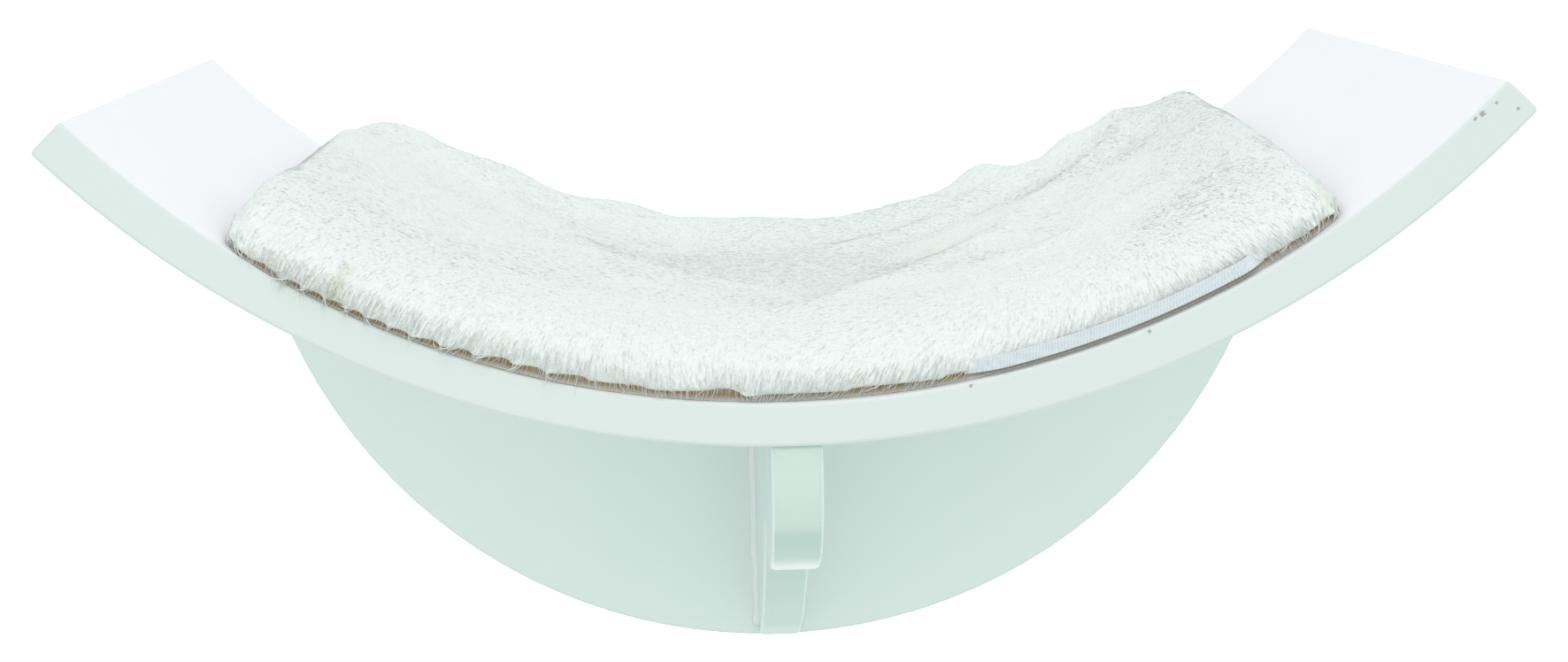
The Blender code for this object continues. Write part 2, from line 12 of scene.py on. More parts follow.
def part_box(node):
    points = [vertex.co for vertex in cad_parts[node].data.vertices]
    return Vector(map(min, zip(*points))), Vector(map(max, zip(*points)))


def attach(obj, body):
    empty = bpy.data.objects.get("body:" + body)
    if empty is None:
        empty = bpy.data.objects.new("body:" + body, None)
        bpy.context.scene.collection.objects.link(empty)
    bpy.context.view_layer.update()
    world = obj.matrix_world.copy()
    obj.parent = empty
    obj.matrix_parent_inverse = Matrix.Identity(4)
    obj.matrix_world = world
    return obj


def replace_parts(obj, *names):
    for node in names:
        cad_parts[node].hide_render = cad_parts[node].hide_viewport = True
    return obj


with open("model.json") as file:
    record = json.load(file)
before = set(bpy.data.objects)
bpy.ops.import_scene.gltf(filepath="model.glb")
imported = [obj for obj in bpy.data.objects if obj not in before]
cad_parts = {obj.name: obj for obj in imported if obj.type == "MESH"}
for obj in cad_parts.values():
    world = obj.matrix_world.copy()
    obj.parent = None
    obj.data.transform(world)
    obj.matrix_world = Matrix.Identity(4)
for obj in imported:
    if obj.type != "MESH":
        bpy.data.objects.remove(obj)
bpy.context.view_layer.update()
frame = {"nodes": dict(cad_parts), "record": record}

# Board, as packed
SHELF_WIDTH = 0.420
SHELF_THICKNESS = 0.0125
SHELF_HALF_ANGLE = math.radians(46)
SHELF_RADIUS = SHELF_WIDTH / (2 * math.sin(SHELF_HALF_ANGLE))
SEAT_RADIUS = SHELF_RADIUS - SHELF_THICKNESS
SHELF_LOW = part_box("curved_shelf")[0]
AXIS_PLACE = Vector((0, 0, SHELF_LOW.z + SHELF_RADIUS))
MERGE_DISTANCE = 0.00001
SEATED_GAP = 0.0003
SHARP_ANGLE = math.radians(50)
FLAT_ANGLE = math.radians(0.3)

# Cushion plan, measured along the seat and back from the cushion's front edge
CUSHION_FRONT = -0.277
CUSHION_LENGTH = 0.345
CUSHION_DEPTH = 0.272
CUSHION_SHIFT = 0.002
CUSHION_SKEW = 0.0015
FRONT_RIGHT_PULL = 0.0045
CUSHION_PULL_IN = 0.0005
FRONT_CORNER_POWER = 26
REAR_CORNER_POWER = 8
SKIN_INSET = 0.0005

# Swelling of the cushion's left end: how far out, where it is back from the front edge, and how wide
END_SWELL = 0.0028
END_SWELL_DEPTH = 0.050
END_SWELL_REACH = 0.036
END_SWELL_POWER = 6

# Cushion's section: heights above the seat, and widths of its roundings and rolls
CUSHION_BASE = 0.0053
SEAM_HEIGHT = 0.0022
EDGE_ROUND = 0.011
END_ROUND = 0.006
FRONT_ROUND = 0.024
LIP_INSET = -0.0008
PLATEAU_HEIGHT = 0.0122
FRONT_ROLL_RISE = 0.0010
FRONT_ROLL_WIDTH = 0.030
REAR_ROLL_RISE = 0.0038
REAR_ROLL_SIDES = 0.0026
REAR_ROLL_SIDE_REACH = 0.08
REAR_ROLL_WIDTH = 0.020
SKIN_GRID = (84, 68)
GRID_CROWDING_SHARE = 0.5

# Shallow fan between the two long folds: its depth, its point and the bearings of its sides
FAN_DEPTH = 0.0038
FAN_APEX = 0.035
FAN_RUN_IN = 0.085
FAN_LEFT = math.radians(-27)
FAN_RIGHT = math.radians(35)
FAN_SOFTNESS = math.radians(26)

# Front edge: how far it droops, a little more at both ends, and how far its left part comes forward
DROOP_ALL = 0.0036
DROOP_ENDS = 0.0010
DROOP_DEPTH = 0.055
DROOP_RUNS = (-0.085, 0.150)
DROOP_FADE = 0.025
DROOP_LIMIT_SHARE = 0.85
ADVANCE_LEFT = 0.0045
ADVANCE_RUNS = (-0.090, 0.030)
ADVANCE_DEPTH = 0.090

# Folds of the cushion: where each runs, as (run, depth), with its rise and half width
FOLDS = (
    (((-0.048, 0.097), (-0.069, 0.164), (-0.101, 0.224), (-0.125, 0.241)), 0.0018, 0.0085),
    (((0.006, 0.047), (0.023, 0.082), (0.070, 0.130), (0.102, 0.192), (0.140, 0.228)), 0.0024, 0.0090),
    (((0.028, 0.212), (0.057, 0.218), (0.085, 0.234), (0.122, 0.247)), 0.0025, 0.0078),
    (((0.068, 0.079), (0.086, 0.077), (0.124, 0.102)), 0.0018, 0.0070),
    (((-0.158, 0.020), (-0.158, 0.240)), 0.0024, 0.0170),
    (((0.158, 0.070), (0.162, 0.220)), 0.0024, 0.0150),
)

# Humps, and hollows where the rise is negative: where each lies, as (run, depth), its rise and its reach
HUMPS = (
    ((-0.165, 0.240), -0.0072, 0.014),
    ((-0.142, 0.255), 0.0022, 0.012),
    ((-0.106, 0.253), 0.0046, 0.018),
    ((-0.056, 0.257), 0.0030, 0.018),
    ((-0.004, 0.257), 0.0014, 0.012),
    ((0.030, 0.257), -0.0016, 0.016),
    ((0.066, 0.254), 0.0008, 0.008),
    ((0.084, 0.255), 0.0052, 0.010),
    ((0.106, 0.255), -0.0040, 0.010),
    ((0.145, 0.255), 0.0024, 0.009),
    ((0.160, 0.252), -0.0036, 0.013),
)

# Partings, olive streaks in the pile's tone: where each runs, its half width and strength
PARTINGS = (
    (((-0.135, -0.004), (-0.134, 0.001)), 0.0020, 0.45),
    (((0.052, 0.140), (0.054, 0.158)), 0.0030, 0.3),
    (((0.166, -0.002), (0.168, 0.010)), 0.0040, 0.4),
)

# Simulation of the stuffed skin
SIM_VOXEL = 0.0029
SIM_PRESSURE = 4.0
SIM_SLACK = -0.035
SIM_FRAMES = 20
SIM_REACH = 0.0015

# Pile: how closely the hairs stand, the form of one hair, and how its shading follows the skin's
HAIRS_PER_AREA = 900000
PILE_STRIPS = 10
PILE_MARGIN = 4 * CUSHION_SKEW
HAIR_WIDTH = 0.000095
HAIR_FLATNESS = 0.055
HAIR_BOW = math.radians(38)
SHORT_TAPER_SHARES = ((0.55, 0.85),)
LONG_TAPER_SHARES = ((0.36, 0.92), (0.72, 0.62))
SHORT_HAIR_LIMIT = 0.0045
FRINGE_WIDENING = 1.25
LENGTH_CHANCE_SHARES = (0.62, 1.18)
WIDTH_CHANCE_SHARES = (0.7, 1.25)
NORMAL_LIFT = 1.3
SOFT_NORMAL_SHARE = 0.985
LEAN_SEEDS = (11, 12, 13)
LENGTH_SEED = 21
WIDTH_SEED = 22
TINT_SEED = 31

# Pile by its place: its length, how steeply it stands, and how far its clumps pull it about
TOP_HAIR = 0.0024
ROLL_HAIR = 0.0029
SIDE_HAIR = 0.0036
FRINGE_HAIR = 0.0060
RIBBED_HAIR = 0.0040
TOP_STAND = 0.11
ROLL_STAND = 0.11
SIDE_STAND = 0.24
FRINGE_STAND = 0.34
TOP_TUG = 0.10
ROLL_TUG = 0.15
CLUMP_SCALE = 300.0

# Combing: swirls on top, outwards near the edges, forward on the front roll, and down on the sides
COMB_SWIRL = 13.0
SWIRL_LEAN = 1.6
OUTWARD_LEAN = 0.5
FRONT_LEAN = Vector((-0.25, -0.9, 0))
DOWNWARD_LEAN = 1.2
RIBBED_LEAN_SHARE = 0.8
COMBED_LEAN = 0.85
OWN_LEAN = 0.10
BOW_SINK = 0.5

# Stretches of the skin: sides and underside by their slope, the front, the bare band and the fringe by place
SIDE_START = 1.2
SIDE_STEEPNESS = 1.6
UNDERSIDE_START = 1.05
UNDERSIDE_STEEPNESS = 1.7
FRONT_REACH = 0.130
FRONT_FADE = 0.115
BARE_RUNS = (0.044, 0.148)
BARE_FADE = 0.016
BARE_DEPTH = 0.026
BARE_DEPTH_FADE = 0.010
FRINGE_TOP = 0.0100
FRINGE_FADE = 0.004

# Ribbed base cloth: its sheet, the band round its rim, and the felt rim under the band, whose brown is partly
# the felt's own and partly painted shade
CLOTH_BASE = 0.0039
CLOTH_THICKNESS = 0.0009
CLOTH_INSET = 0.0042
BAND_INSET = -0.0010
BAND_FOOT = 0.0014
BAND_HEIGHT = 0.0052
BAND_RETREAT = 0.0045
BAND_TOP = CLOTH_BASE + BAND_HEIGHT - DROOP_ALL
BAND_TOP_FADE = 0.001
FELT_INSET = 0.0022
FELT_TOP = 0.0032
FELT_FOOT_INSET = 0.0014
FELT_FOOT_HEIGHT = 0.0001
FELT_POINTS = 480
FELT_SHADE_FADE = 0.55
CLOTH_GRID = (64, 40)
RIB_PITCH = 0.00085
POINTS_PER_RIB = 4
RIB_DEPTH = 0.00016

# Beads of filler: steps of their form, and how their thickness wanders
BEAD_ROWS = 90
BEAD_ARC_STEPS = 8
BEAD_SLOW_SCALE = 95
BEAD_QUICK_SCALES = (500, 420)
BEAD_SLOW_SHARE = 0.5
BEAD_QUICK_SHARE = 0.25
BEAD_THINNING_SHARE = 0.15

# Camera of the photograph: place, turns and the lens for a 36 mm wide sensor
PHOTO_WIDTH = 1772
CAMERA_PLACE = (-0.0275, -1.1359, 0.2250)
CAMERA_YAW = math.radians(-1.64)
CAMERA_PITCH = math.radians(8.70)
CAMERA_ROLL = math.radians(-1.53)
FOCAL_PIXELS = 3493
SENSOR_WIDTH = 36.0

# Stage
FLOOR_HEIGHT = -0.25
FLOOR_SIZE = 60.0
LIGHT_LEVEL = 0.93


# Mesh helpers


def mesh_object(name, mesh, *materials):
    obj = bpy.data.objects.new(name, mesh)
    bpy.context.scene.collection.objects.link(obj)
    for material in materials:
        mesh.materials.append(material)
    return obj


def made_object(name, bm, *materials):
    """Makes an object of a closed bmesh, smooth but for its sharp edges."""
    bmesh.ops.recalc_face_normals(bm, faces=bm.faces[:])
    mesh = bpy.data.meshes.new(name)
    bm.to_mesh(mesh)
    bm.free()
    mesh.shade_smooth()
    mesh.set_sharp_from_angle(angle=SHARP_ANGLE)
    return mesh_object(name, mesh, *materials)


def evaluated_mesh(obj):
    """The object's mesh with its modifiers applied."""
    depsgraph = bpy.context.evaluated_depsgraph_get()
    return bpy.data.meshes.new_from_object(obj.evaluated_get(depsgraph), depsgraph=depsgraph)


def add_subdivision(obj):
    """One step of subdivision, the same in the viewport and in the render."""
    finer = obj.modifiers.new("finer", "SUBSURF")
    finer.levels = 1
    finer.render_levels = 1


def smooth_step(value):
    value = min(max(value, 0.0), 1.0)
    return value * value * (3 - 2 * value)


def on_arc(radius, angle, y):
    """A point about the board's axis, with the angle measured from straight down towards +x."""
    return AXIS_PLACE + Vector((radius * math.sin(angle), y, -radius * math.cos(angle)))


def seat_point(run, depth, height):
    return on_arc(SEAT_RADIUS - height, run / SEAT_RADIUS, CUSHION_FRONT + depth)


def seat_place(point):
    """The run, depth and height over the seat of a point: seat_point the other way round."""
    away = point - AXIS_PLACE
    run = math.atan2(away.x, -away.z) * SEAT_RADIUS
    return run, point.y - CUSHION_FRONT, SEAT_RADIUS - math.hypot(away.x, away.z)


def float_attribute(mesh, name, values):
    mesh.attributes.new(name, "FLOAT", "POINT").data.foreach_set("value", values)


def vector_attribute(mesh, name, vectors):
    flat = [number for vector in vectors for number in vector]
    mesh.attributes.new(name, "FLOAT_VECTOR", "POINT").data.foreach_set("vector", flat)


# Shader helpers


class Wiring:
    """Adds nodes to a tree, each with its settings, and sets or links their inputs."""

    def __init__(self, tree):
        self.tree = tree

    def node(self, kind, inputs=None, **settings):
        made = self.tree.nodes.new(kind)
        for name, value in settings.items():
            setattr(made, name, value)
        for name, value in (inputs or {}).items():
            self.feed(made.inputs[name], value)
        return made

    def feed(self, socket, value):
        if isinstance(value, bpy.types.NodeSocket):
            self.tree.links.new(value, socket)
        else:
            socket.default_value = value

    def mixed(self, share, first, second, blend="MIX"):
        """A mix of two colours."""
        mix = self.tree.nodes.new("ShaderNodeMix")
        mix.data_type = "RGBA"
        mix.blend_type = blend
        for socket, value in ((mix.inputs[0], share), (mix.inputs[6], first), (mix.inputs[7], second)):
            self.feed(socket, value)
        return mix.outputs[2]

    def math(self, operation, *values, clamp=False):
        node = self.node("ShaderNodeMath", operation=operation, use_clamp=clamp)
        for socket, value in zip(node.inputs, values):
            self.feed(socket, value)
        return node.outputs[0]

    def spread(self, value, low, high, new_low, new_high):
        """The value's range low to high, laid over new_low to new_high."""
        inputs = {
            "Value": value,
            "From Min": low,
            "From Max": high,
            "To Min": new_low,
            "To Max": new_high,
        }
        return self.node("ShaderNodeMapRange", inputs).outputs["Result"]

    def grain(self, place, scale, detail=2.0, roughness=0.5):
        inputs = {"Vector": place, "Scale": scale, "Detail": detail, "Roughness": roughness}
        return self.node("ShaderNodeTexNoise", inputs).outputs["Fac"]


def colour(red, green, blue):
    return (red, green, blue, 1.0)


def new_group(name, inputs, outputs):
    """An empty shader group with named sockets: (wiring, its inputs, the node that takes its outputs)."""
    tree = bpy.data.node_groups.new(name, "ShaderNodeTree")
    for socket_name, kind, default in inputs:
        made = tree.interface.new_socket(socket_name, in_out="INPUT", socket_type="NodeSocket" + kind)
        if default is not None:
            made.default_value = default
    for socket_name, kind in outputs:
        tree.interface.new_socket(socket_name, in_out="OUTPUT", socket_type="NodeSocket" + kind)
    wiring = Wiring(tree)
    return wiring, wiring.node("NodeGroupInput").outputs, wiring.node("NodeGroupOutput")


def soft_mottle_group():
    """Slow, faint changes of tone over a surface, as on hand-finished lacquer or washed cloth."""
    wiring, given, taken = new_group(
        "soft_mottle",
        (
            ("Place", "Vector", None),
            ("Colour", "Color", colour(0.8, 0.8, 0.8)),
            ("Shade", "Color", colour(0.7, 0.7, 0.7)),
            ("Scale", "Float", 10.0),
            ("Amount", "Float", 0.5),
        ),
        (("Colour", "Color"), ("Mask", "Float")),
    )
    cloud = wiring.grain(given["Place"], given["Scale"], 3.0)
    mask = wiring.spread(cloud, 0.35, 0.7, 0.0, 1.0)
    share = wiring.math("MULTIPLY", mask, given["Amount"])
    wiring.feed(taken.inputs["Colour"], wiring.mixed(share, given["Colour"], given["Shade"]))
    wiring.feed(taken.inputs["Mask"], mask)
    return wiring.tree


def sprayed_skin_group():
    """The skin of sprayed lacquer: orange peel, a few dust nibs, and a gloss that changes a little."""
    wiring, given, taken = new_group(
        "sprayed_skin",
        (("Place", "Vector", None), ("Roughness", "Float", 0.3), ("Peel Scale", "Float", 420.0)),
        (("Height", "Float"), ("Roughness", "Float")),
    )
    peel = wiring.grain(given["Place"], given["Peel Scale"], 1.0)
    wave = wiring.grain(given["Place"], 38.0, 2.0)
    nib = wiring.node("ShaderNodeTexVoronoi", {"Vector": given["Place"], "Scale": 130.0}).outputs["Distance"]
    nibs = wiring.math("MULTIPLY", wiring.math("LESS_THAN", nib, 0.045), 0.8)
    height = wiring.math("ADD", wiring.math("ADD", peel, wave), nibs)
    wiring.feed(taken.inputs["Height"], height)
    swing = wiring.spread(wave, 0.3, 0.7, -0.05, 0.06)
    wiring.feed(taken.inputs["Roughness"], wiring.math("ADD", given["Roughness"], swing))
    return wiring.tree


def chip_group():
    """A small chip with a ragged edge about one place."""
    wiring, given, taken = new_group(
        "chip",
        (("Place", "Vector", None), ("Chip Place", "Vector", None), ("Size", "Float", 0.001)),
        (("Mask", "Float"),),
    )
    away = wiring.node("ShaderNodeVectorMath", operation="DISTANCE")
    wiring.feed(away.inputs[0], given["Place"])
    wiring.feed(away.inputs[1], given["Chip Place"])
    ragged = wiring.spread(wiring.grain(given["Place"], 2600.0, 3.0), 0.3, 0.7, 0.35, 1.5)
    reach = wiring.math("MULTIPLY", ragged, given["Size"])
    near = wiring.math("SUBTRACT", 1.0, wiring.math("DIVIDE", away.outputs["Value"], reach))
    wiring.feed(taken.inputs["Mask"], wiring.math("MULTIPLY", near, 4.0, clamp=True))
    return wiring.tree


def yarn_group():
    """Rows of small stitches, for tapes and backing cloth."""
    wiring, given, taken = new_group(
        "yarn",
        (("Place", "Vector", None), ("Pitch Scale", "Float", 700.0)),
        (("Height", "Float"), ("Mask", "Float")),
    )
    parts = wiring.node("ShaderNodeSeparateXYZ", {"Vector": given["Place"]}).outputs
    waves = []
    for part in ("X", "Y"):
        along = wiring.math("MULTIPLY", parts[part], given["Pitch Scale"])
        waves.append(wiring.math("SINE", wiring.math("MULTIPLY", along, math.tau)))
    weave = wiring.math("MULTIPLY", *waves)
    fuzz = wiring.grain(given["Place"], 3000.0, 2.0)
    height = wiring.math("ADD", weave, fuzz)
    wiring.feed(taken.inputs["Height"], height)
    wiring.feed(taken.inputs["Mask"], wiring.spread(height, 0.0, 1.6, 0.0, 1.0))
    return wiring.tree


GROUPS = {
    "mottle": soft_mottle_group(),
    "sprayed": sprayed_skin_group(),
    "chip": chip_group(),
    "yarn": yarn_group(),
}


class Finish(Wiring):
    """A material: one Principled shader, its object coordinates, and the shared groups."""

    def __init__(self, name, **sockets):
        self.material = bpy.data.materials.new(name)
        self.material.use_nodes = True
        super().__init__(self.material.node_tree)
        self.shader = self.tree.nodes["Principled BSDF"]
        self.place = self.node("ShaderNodeTexCoord").outputs["Object"]
        for socket, value in sockets.items():
            self.shader.inputs[socket.replace("_", " ")].default_value = value

    def group(self, name, **inputs):
        node = self.node("ShaderNodeGroup", node_tree=GROUPS[name])
        self.feed(node.inputs["Place"], self.place)
        for socket, value in inputs.items():
            self.feed(node.inputs[socket.replace("_", " ")], value)
        return node.outputs

    def paint(self, value):
        self.feed(self.shader.inputs["Base Color"], value)

    def roughen(self, value):
        self.feed(self.shader.inputs["Roughness"], value)

    def bump(self, height, distance, strength=1.0):
        inputs = {"Height": height, "Distance": distance, "Strength": strength}
        self.feed(self.shader.inputs["Normal"], self.node("ShaderNodeBump", inputs).outputs["Normal"])


# Finishes


# One lacquer in three tints, with the board's as the plain white. The plate's lighter WHITE is painted light
# where the board shades it, and the fin's deeper, greener FIN_WHITE is painted shade.
WHITE = colour(0.805, 0.900, 0.858)
WHITE_SHADE = colour(0.787, 0.888, 0.846)
FIN_WHITE = colour(0.665, 0.788, 0.725)
FIN_SHADE = colour(0.650, 0.778, 0.713)
# Fin: painted shade on the curl and the lower lobe, painted highlights on the nose and arrises, painted light
# on the sides.
FIN_CURL_SHADE = colour(0.540, 0.705, 0.642)
FIN_LOW_LOBE_SHADE = colour(0.550, 0.735, 0.660)
FIN_NOSE_HIGHLIGHT = colour(0.900, 0.980, 0.960)
FIN_ARRIS_HIGHLIGHT = colour(0.860, 0.960, 0.930)
FIN_SIDE_PAINTED_LIGHT = colour(0.715, 0.830, 0.810)
BOARD_WHITE = colour(0.718, 0.782, 0.748)
BOARD_SHADE = colour(0.700, 0.772, 0.736)
# Painted light on the board's seat.
SEAT_PAINTED_LIGHT = colour(0.880, 0.903, 0.930)
CHIP_GREY = colour(0.42, 0.43, 0.38)
# Painted shade for the fan between the folds.
FAN_SHADE_TINT = colour(0.975, 0.990, 0.985)
# Painted light for the hairs of the fringe.
FRINGE_PAINTED_LIGHT = colour(0.935, 0.965, 0.940)
PARTING_OLIVE = colour(0.66, 0.72, 0.52)

# Lacquer's skin, and where the fin's painted shade and highlights change: half its width, and the first and
# last place of each fade
LACQUER_ROUGHNESS = 0.34
LACQUER_BUMP = 0.000035
FIN_HALF = 0.0075
FIN_FRONT_FADE = (-0.17, -0.20)
FIN_CURL_FADE = (0.0350, 0.0315)
FIN_NOSE_FADE = (0.0215, 0.0165)
FIN_ARRIS_FADE = (FIN_HALF - 0.0009, FIN_HALF - 0.0004)
FIN_ARRIS_SHARE = 0.8
FIN_SIDE_MARGIN = 0.00003
SEAT_LIGHT_FADE = (SEAT_RADIUS + 0.0003, SEAT_RADIUS + 0.0001)

# Chips of the board's right end and of its front edge: degrees along the arc, depth below the seat, and size
END_CHIPS = ((43.6, 0.0016, 0.0009), (43.1, 0.0011, 0.0006), (44.6, 0.0022, 0.0005), (45.2, 0.0078, 0.0005))
EDGE_CHIPS = ((20.85, 0.0010, 0.0006), (10.1, 0.0008, 0.0006))
CHIP_SINK = 3.0


def lacquer(name, tint, shade):
    """Sprayed lacquer: the finish, its mottled tone and the height of its skin."""
    finish = Finish(name, Coat_Weight=0.15, Coat_Roughness=0.12)
    tone = finish.group("mottle", Colour=tint, Shade=shade, Scale=9.0, Amount=0.6)["Colour"]
    skin = finish.group("sprayed", Roughness=LACQUER_ROUGHNESS)
    finish.roughen(skin["Roughness"])
    return finish, tone, skin["Height"]


def plain_lacquer():
    # The plate's lighter tint is painted light where the board shades it.
    finish, tone, height = lacquer("plate_white_lacquer", WHITE, WHITE_SHADE)
    finish.paint(tone)
    finish.bump(height, LACQUER_BUMP)
    return finish.material


def fin_lacquer():
    """The fin's lacquer: painted shade on the lower lobe and where the front lobe curls under, painted
    highlights on its nose and arrises, and painted light on its sides.
    """
    finish, tone, height = lacquer("fin_white_lacquer", FIN_WHITE, FIN_SHADE)
    parts = finish.node("ShaderNodeSeparateXYZ", {"Vector": finish.place}).outputs
    front = finish.spread(parts["Y"], *FIN_FRONT_FADE, 0.0, 1.0)
    under = finish.spread(parts["Z"], *FIN_CURL_FADE, 0.0, 1.0)
    nose = finish.spread(parts["Z"], *FIN_NOSE_FADE, 0.0, 1.0)
    # Painted shade on the lower lobe and under the front lobe's curl, painted highlights on the nose and
    # arrises, and painted light on the side faces.
    tone = finish.mixed(front, FIN_LOW_LOBE_SHADE, tone)
    tone = finish.mixed(finish.math("MULTIPLY", front, under), tone, FIN_CURL_SHADE)
    tone = finish.mixed(finish.math("MULTIPLY", front, nose), tone, FIN_NOSE_HIGHLIGHT)
    across = finish.math("ABSOLUTE", parts["X"])
    arris_highlight = finish.spread(across, *FIN_ARRIS_FADE, 0.0, FIN_ARRIS_SHARE)
    side = finish.math("GREATER_THAN", across, FIN_HALF - FIN_SIDE_MARGIN)
    finish.paint(finish.mixed(side, finish.mixed(arris_highlight, tone, FIN_ARRIS_HIGHLIGHT), FIN_SIDE_PAINTED_LIGHT))
    finish.bump(height, LACQUER_BUMP)
    return finish.material


def chipped_lacquer():
    """The board's lacquer, with painted light that makes the seat whiter, and small chips at its right end and
    front edge.
    """
    finish, tone, height = lacquer("board_white_lacquer", BOARD_WHITE, BOARD_SHADE)
    chipped = 0.0
    for degrees, below, size in END_CHIPS + EDGE_CHIPS:
        place = on_arc(SEAT_RADIUS + below, math.radians(degrees), SHELF_LOW.y)
        mask = finish.group("chip", Chip_Place=place, Size=size)["Mask"]
        chipped = finish.math("MAXIMUM", chipped, mask)
    # Painted light: the seat's face is painted whiter than the board's front.
    parts = finish.node("ShaderNodeSeparateXYZ", {"Vector": finish.place}).outputs
    below = finish.math("SUBTRACT", AXIS_PLACE.z, parts["Z"])
    squares = finish.math("ADD", finish.math("POWER", parts["X"], 2.0), finish.math("POWER", below, 2.0))
    away = finish.math("SQRT", squares)
    seat = finish.spread(away, *SEAT_LIGHT_FADE, 0.0, 1.0)
    tone = finish.mixed(seat, tone, SEAT_PAINTED_LIGHT)
    finish.paint(finish.mixed(chipped, tone, CHIP_GREY))
    sunk = finish.math("SUBTRACT", height, finish.math("MULTIPLY", chipped, CHIP_SINK))
    finish.bump(sunk, LACQUER_BUMP)
    return finish.material


def painted_filler():
    finish = Finish("painted_filler")
    tint, shade = colour(0.86, 0.93, 0.90), colour(0.90, 0.89, 0.865)
    finish.paint(finish.group("mottle", Colour=tint, Shade=shade, Scale=90.0, Amount=0.8)["Colour"])
    lumps = finish.grain(finish.place, 900.0, 3.0)
    finish.roughen(finish.spread(lumps, 0.3, 0.7, 0.35, 0.6))
    finish.bump(lumps, 0.00012)
    return finish.material


def beech():
    finish = Finish("turned_beech")
    stretch = finish.node("ShaderNodeMapping", {"Vector": finish.place, "Scale": (1.0, 1.0, 0.12)})
    fleck = finish.grain(stretch.outputs["Vector"], 900.0, 4.0, 0.6)
    share = finish.spread(fleck, 0.4, 0.65, 0.0, 1.0)
    finish.paint(finish.mixed(share, colour(0.66, 0.47, 0.29), colour(0.46, 0.29, 0.16)))
    finish.roughen(finish.spread(fleck, 0.3, 0.7, 0.5, 0.75))
    finish.bump(fleck, 0.0001)
    return finish.material


def zinc_plate():
    finish = Finish("zinc_plated_steel", Metallic=1.0)
    tint, shade = colour(0.70, 0.70, 0.69), colour(0.54, 0.55, 0.56)
    finish.paint(finish.group("mottle", Colour=tint, Shade=shade, Scale=260.0, Amount=0.8)["Colour"])
    scuff = finish.grain(finish.place, 1500.0, 3.0)
    finish.roughen(finish.spread(scuff, 0.3, 0.7, 0.22, 0.46))
    finish.bump(scuff, 0.00002)
    return finish.material


def tape(name, tint, shade):
    finish = Finish(name, Roughness=0.85)
    yarn = finish.group("yarn", Pitch_Scale=800.0)
    finish.paint(finish.mixed(yarn["Mask"], shade, tint))
    finish.bump(yarn["Height"], 0.0003)
    return finish.material


def ribbed_cloth():
    """Pale blue knit outside, and the warm brown of its felt backing underneath and round its rim; the rim's
    brown is partly painted shade.
    """
    finish = Finish("ribbed_knit", Roughness=0.9, Sheen_Weight=0.2)
    knit = finish.group("yarn", Pitch_Scale=1100.0)
    side = finish.node("ShaderNodeAttribute", attribute_name="backing").outputs["Fac"]
    outside = finish.mixed(knit["Mask"], colour(0.74, 0.82, 0.84), colour(0.86, 0.90, 0.92))
    backing = finish.mixed(knit["Mask"], colour(0.26, 0.19, 0.09), colour(0.35, 0.28, 0.15))
    finish.paint(finish.mixed(side, outside, backing))
    finish.bump(knit["Height"], 0.00012)
    return finish.material


def toned(finish, tone):
    """The plush's tone, with painted shade over the fan between the folds, and its partings."""
    # Painted shade over the fan between the folds, multiplied into the tone.
    fan_shade = finish.node("ShaderNodeAttribute", attribute_name="fan_shade").outputs["Fac"]
    parting = finish.node("ShaderNodeAttribute", attribute_name="parting").outputs["Fac"]
    return finish.mixed(parting, finish.mixed(fan_shade, tone, FAN_SHADE_TINT, blend="MULTIPLY"), PARTING_OLIVE)


def skin_cloth():
    """The knit that the pile stands in, seen only where the pile parts."""
    finish = Finish("plush_ground", Roughness=0.95, Sheen_Weight=0.3)
    tint, shade = colour(0.845, 0.903, 0.868), colour(0.830, 0.888, 0.852)
    ground = finish.group("mottle", Colour=tint, Shade=shade, Scale=400.0, Amount=0.8)
    finish.paint(toned(finish, ground["Colour"]))
    finish.bump(ground["Mask"], 0.0005)
    return finish.material


def hair():
    """Plush hair: painted shade at its root, paler at its tip, each a little different, and painted light
    making it whiter in the fringe.
    """
    finish = Finish("plush_hair", Roughness=0.8, Sheen_Weight=0.1)
    tint = finish.node("ShaderNodeAttribute", attribute_name="tint").outputs["Fac"]
    up = finish.node("ShaderNodeAttribute", attribute_name="up_share").outputs["Fac"]
    # The deeper root is painted shade.
    tip = finish.mixed(tint, colour(0.840, 0.898, 0.864), colour(0.860, 0.907, 0.874))
    root = finish.mixed(tint, colour(0.825, 0.883, 0.840), colour(0.840, 0.893, 0.850))
    whole = finish.mixed(finish.spread(up, 0.0, 0.45, 0.0, 1.0), root, tip)
    # Painted light: the fringe's hairs are whiter.
    fringe = finish.node("ShaderNodeAttribute", attribute_name="fringe").outputs["Fac"]
    whole = finish.mixed(fringe, whole, FRINGE_PAINTED_LIGHT)
    finish.paint(toned(finish, whole))
    return finish.material


# Board, plate, fin and fixings


def dressed_node(name, node, material):
    """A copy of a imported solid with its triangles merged, smooth over its roundings and flat on its faces."""
    bm = bmesh.new()
    bm.from_mesh(frame["nodes"][node].data)
    bmesh.ops.remove_doubles(bm, verts=bm.verts[:], dist=MERGE_DISTANCE)
    bmesh.ops.dissolve_limit(bm, angle_limit=FLAT_ANGLE, verts=bm.verts[:], edges=bm.edges[:])
    mesh = bpy.data.meshes.new(name)
    bm.to_mesh(mesh)
    bm.free()
    mesh.shade_smooth()
    mesh.set_sharp_from_angle(angle=SHARP_ANGLE)
    obj = mesh_object(name, mesh, material)
    modifier = obj.modifiers.new("even_faces", "WEIGHTED_NORMAL")
    modifier.keep_sharp = True
    modifier.weight = 100
    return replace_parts(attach(obj, "shelf"), node)


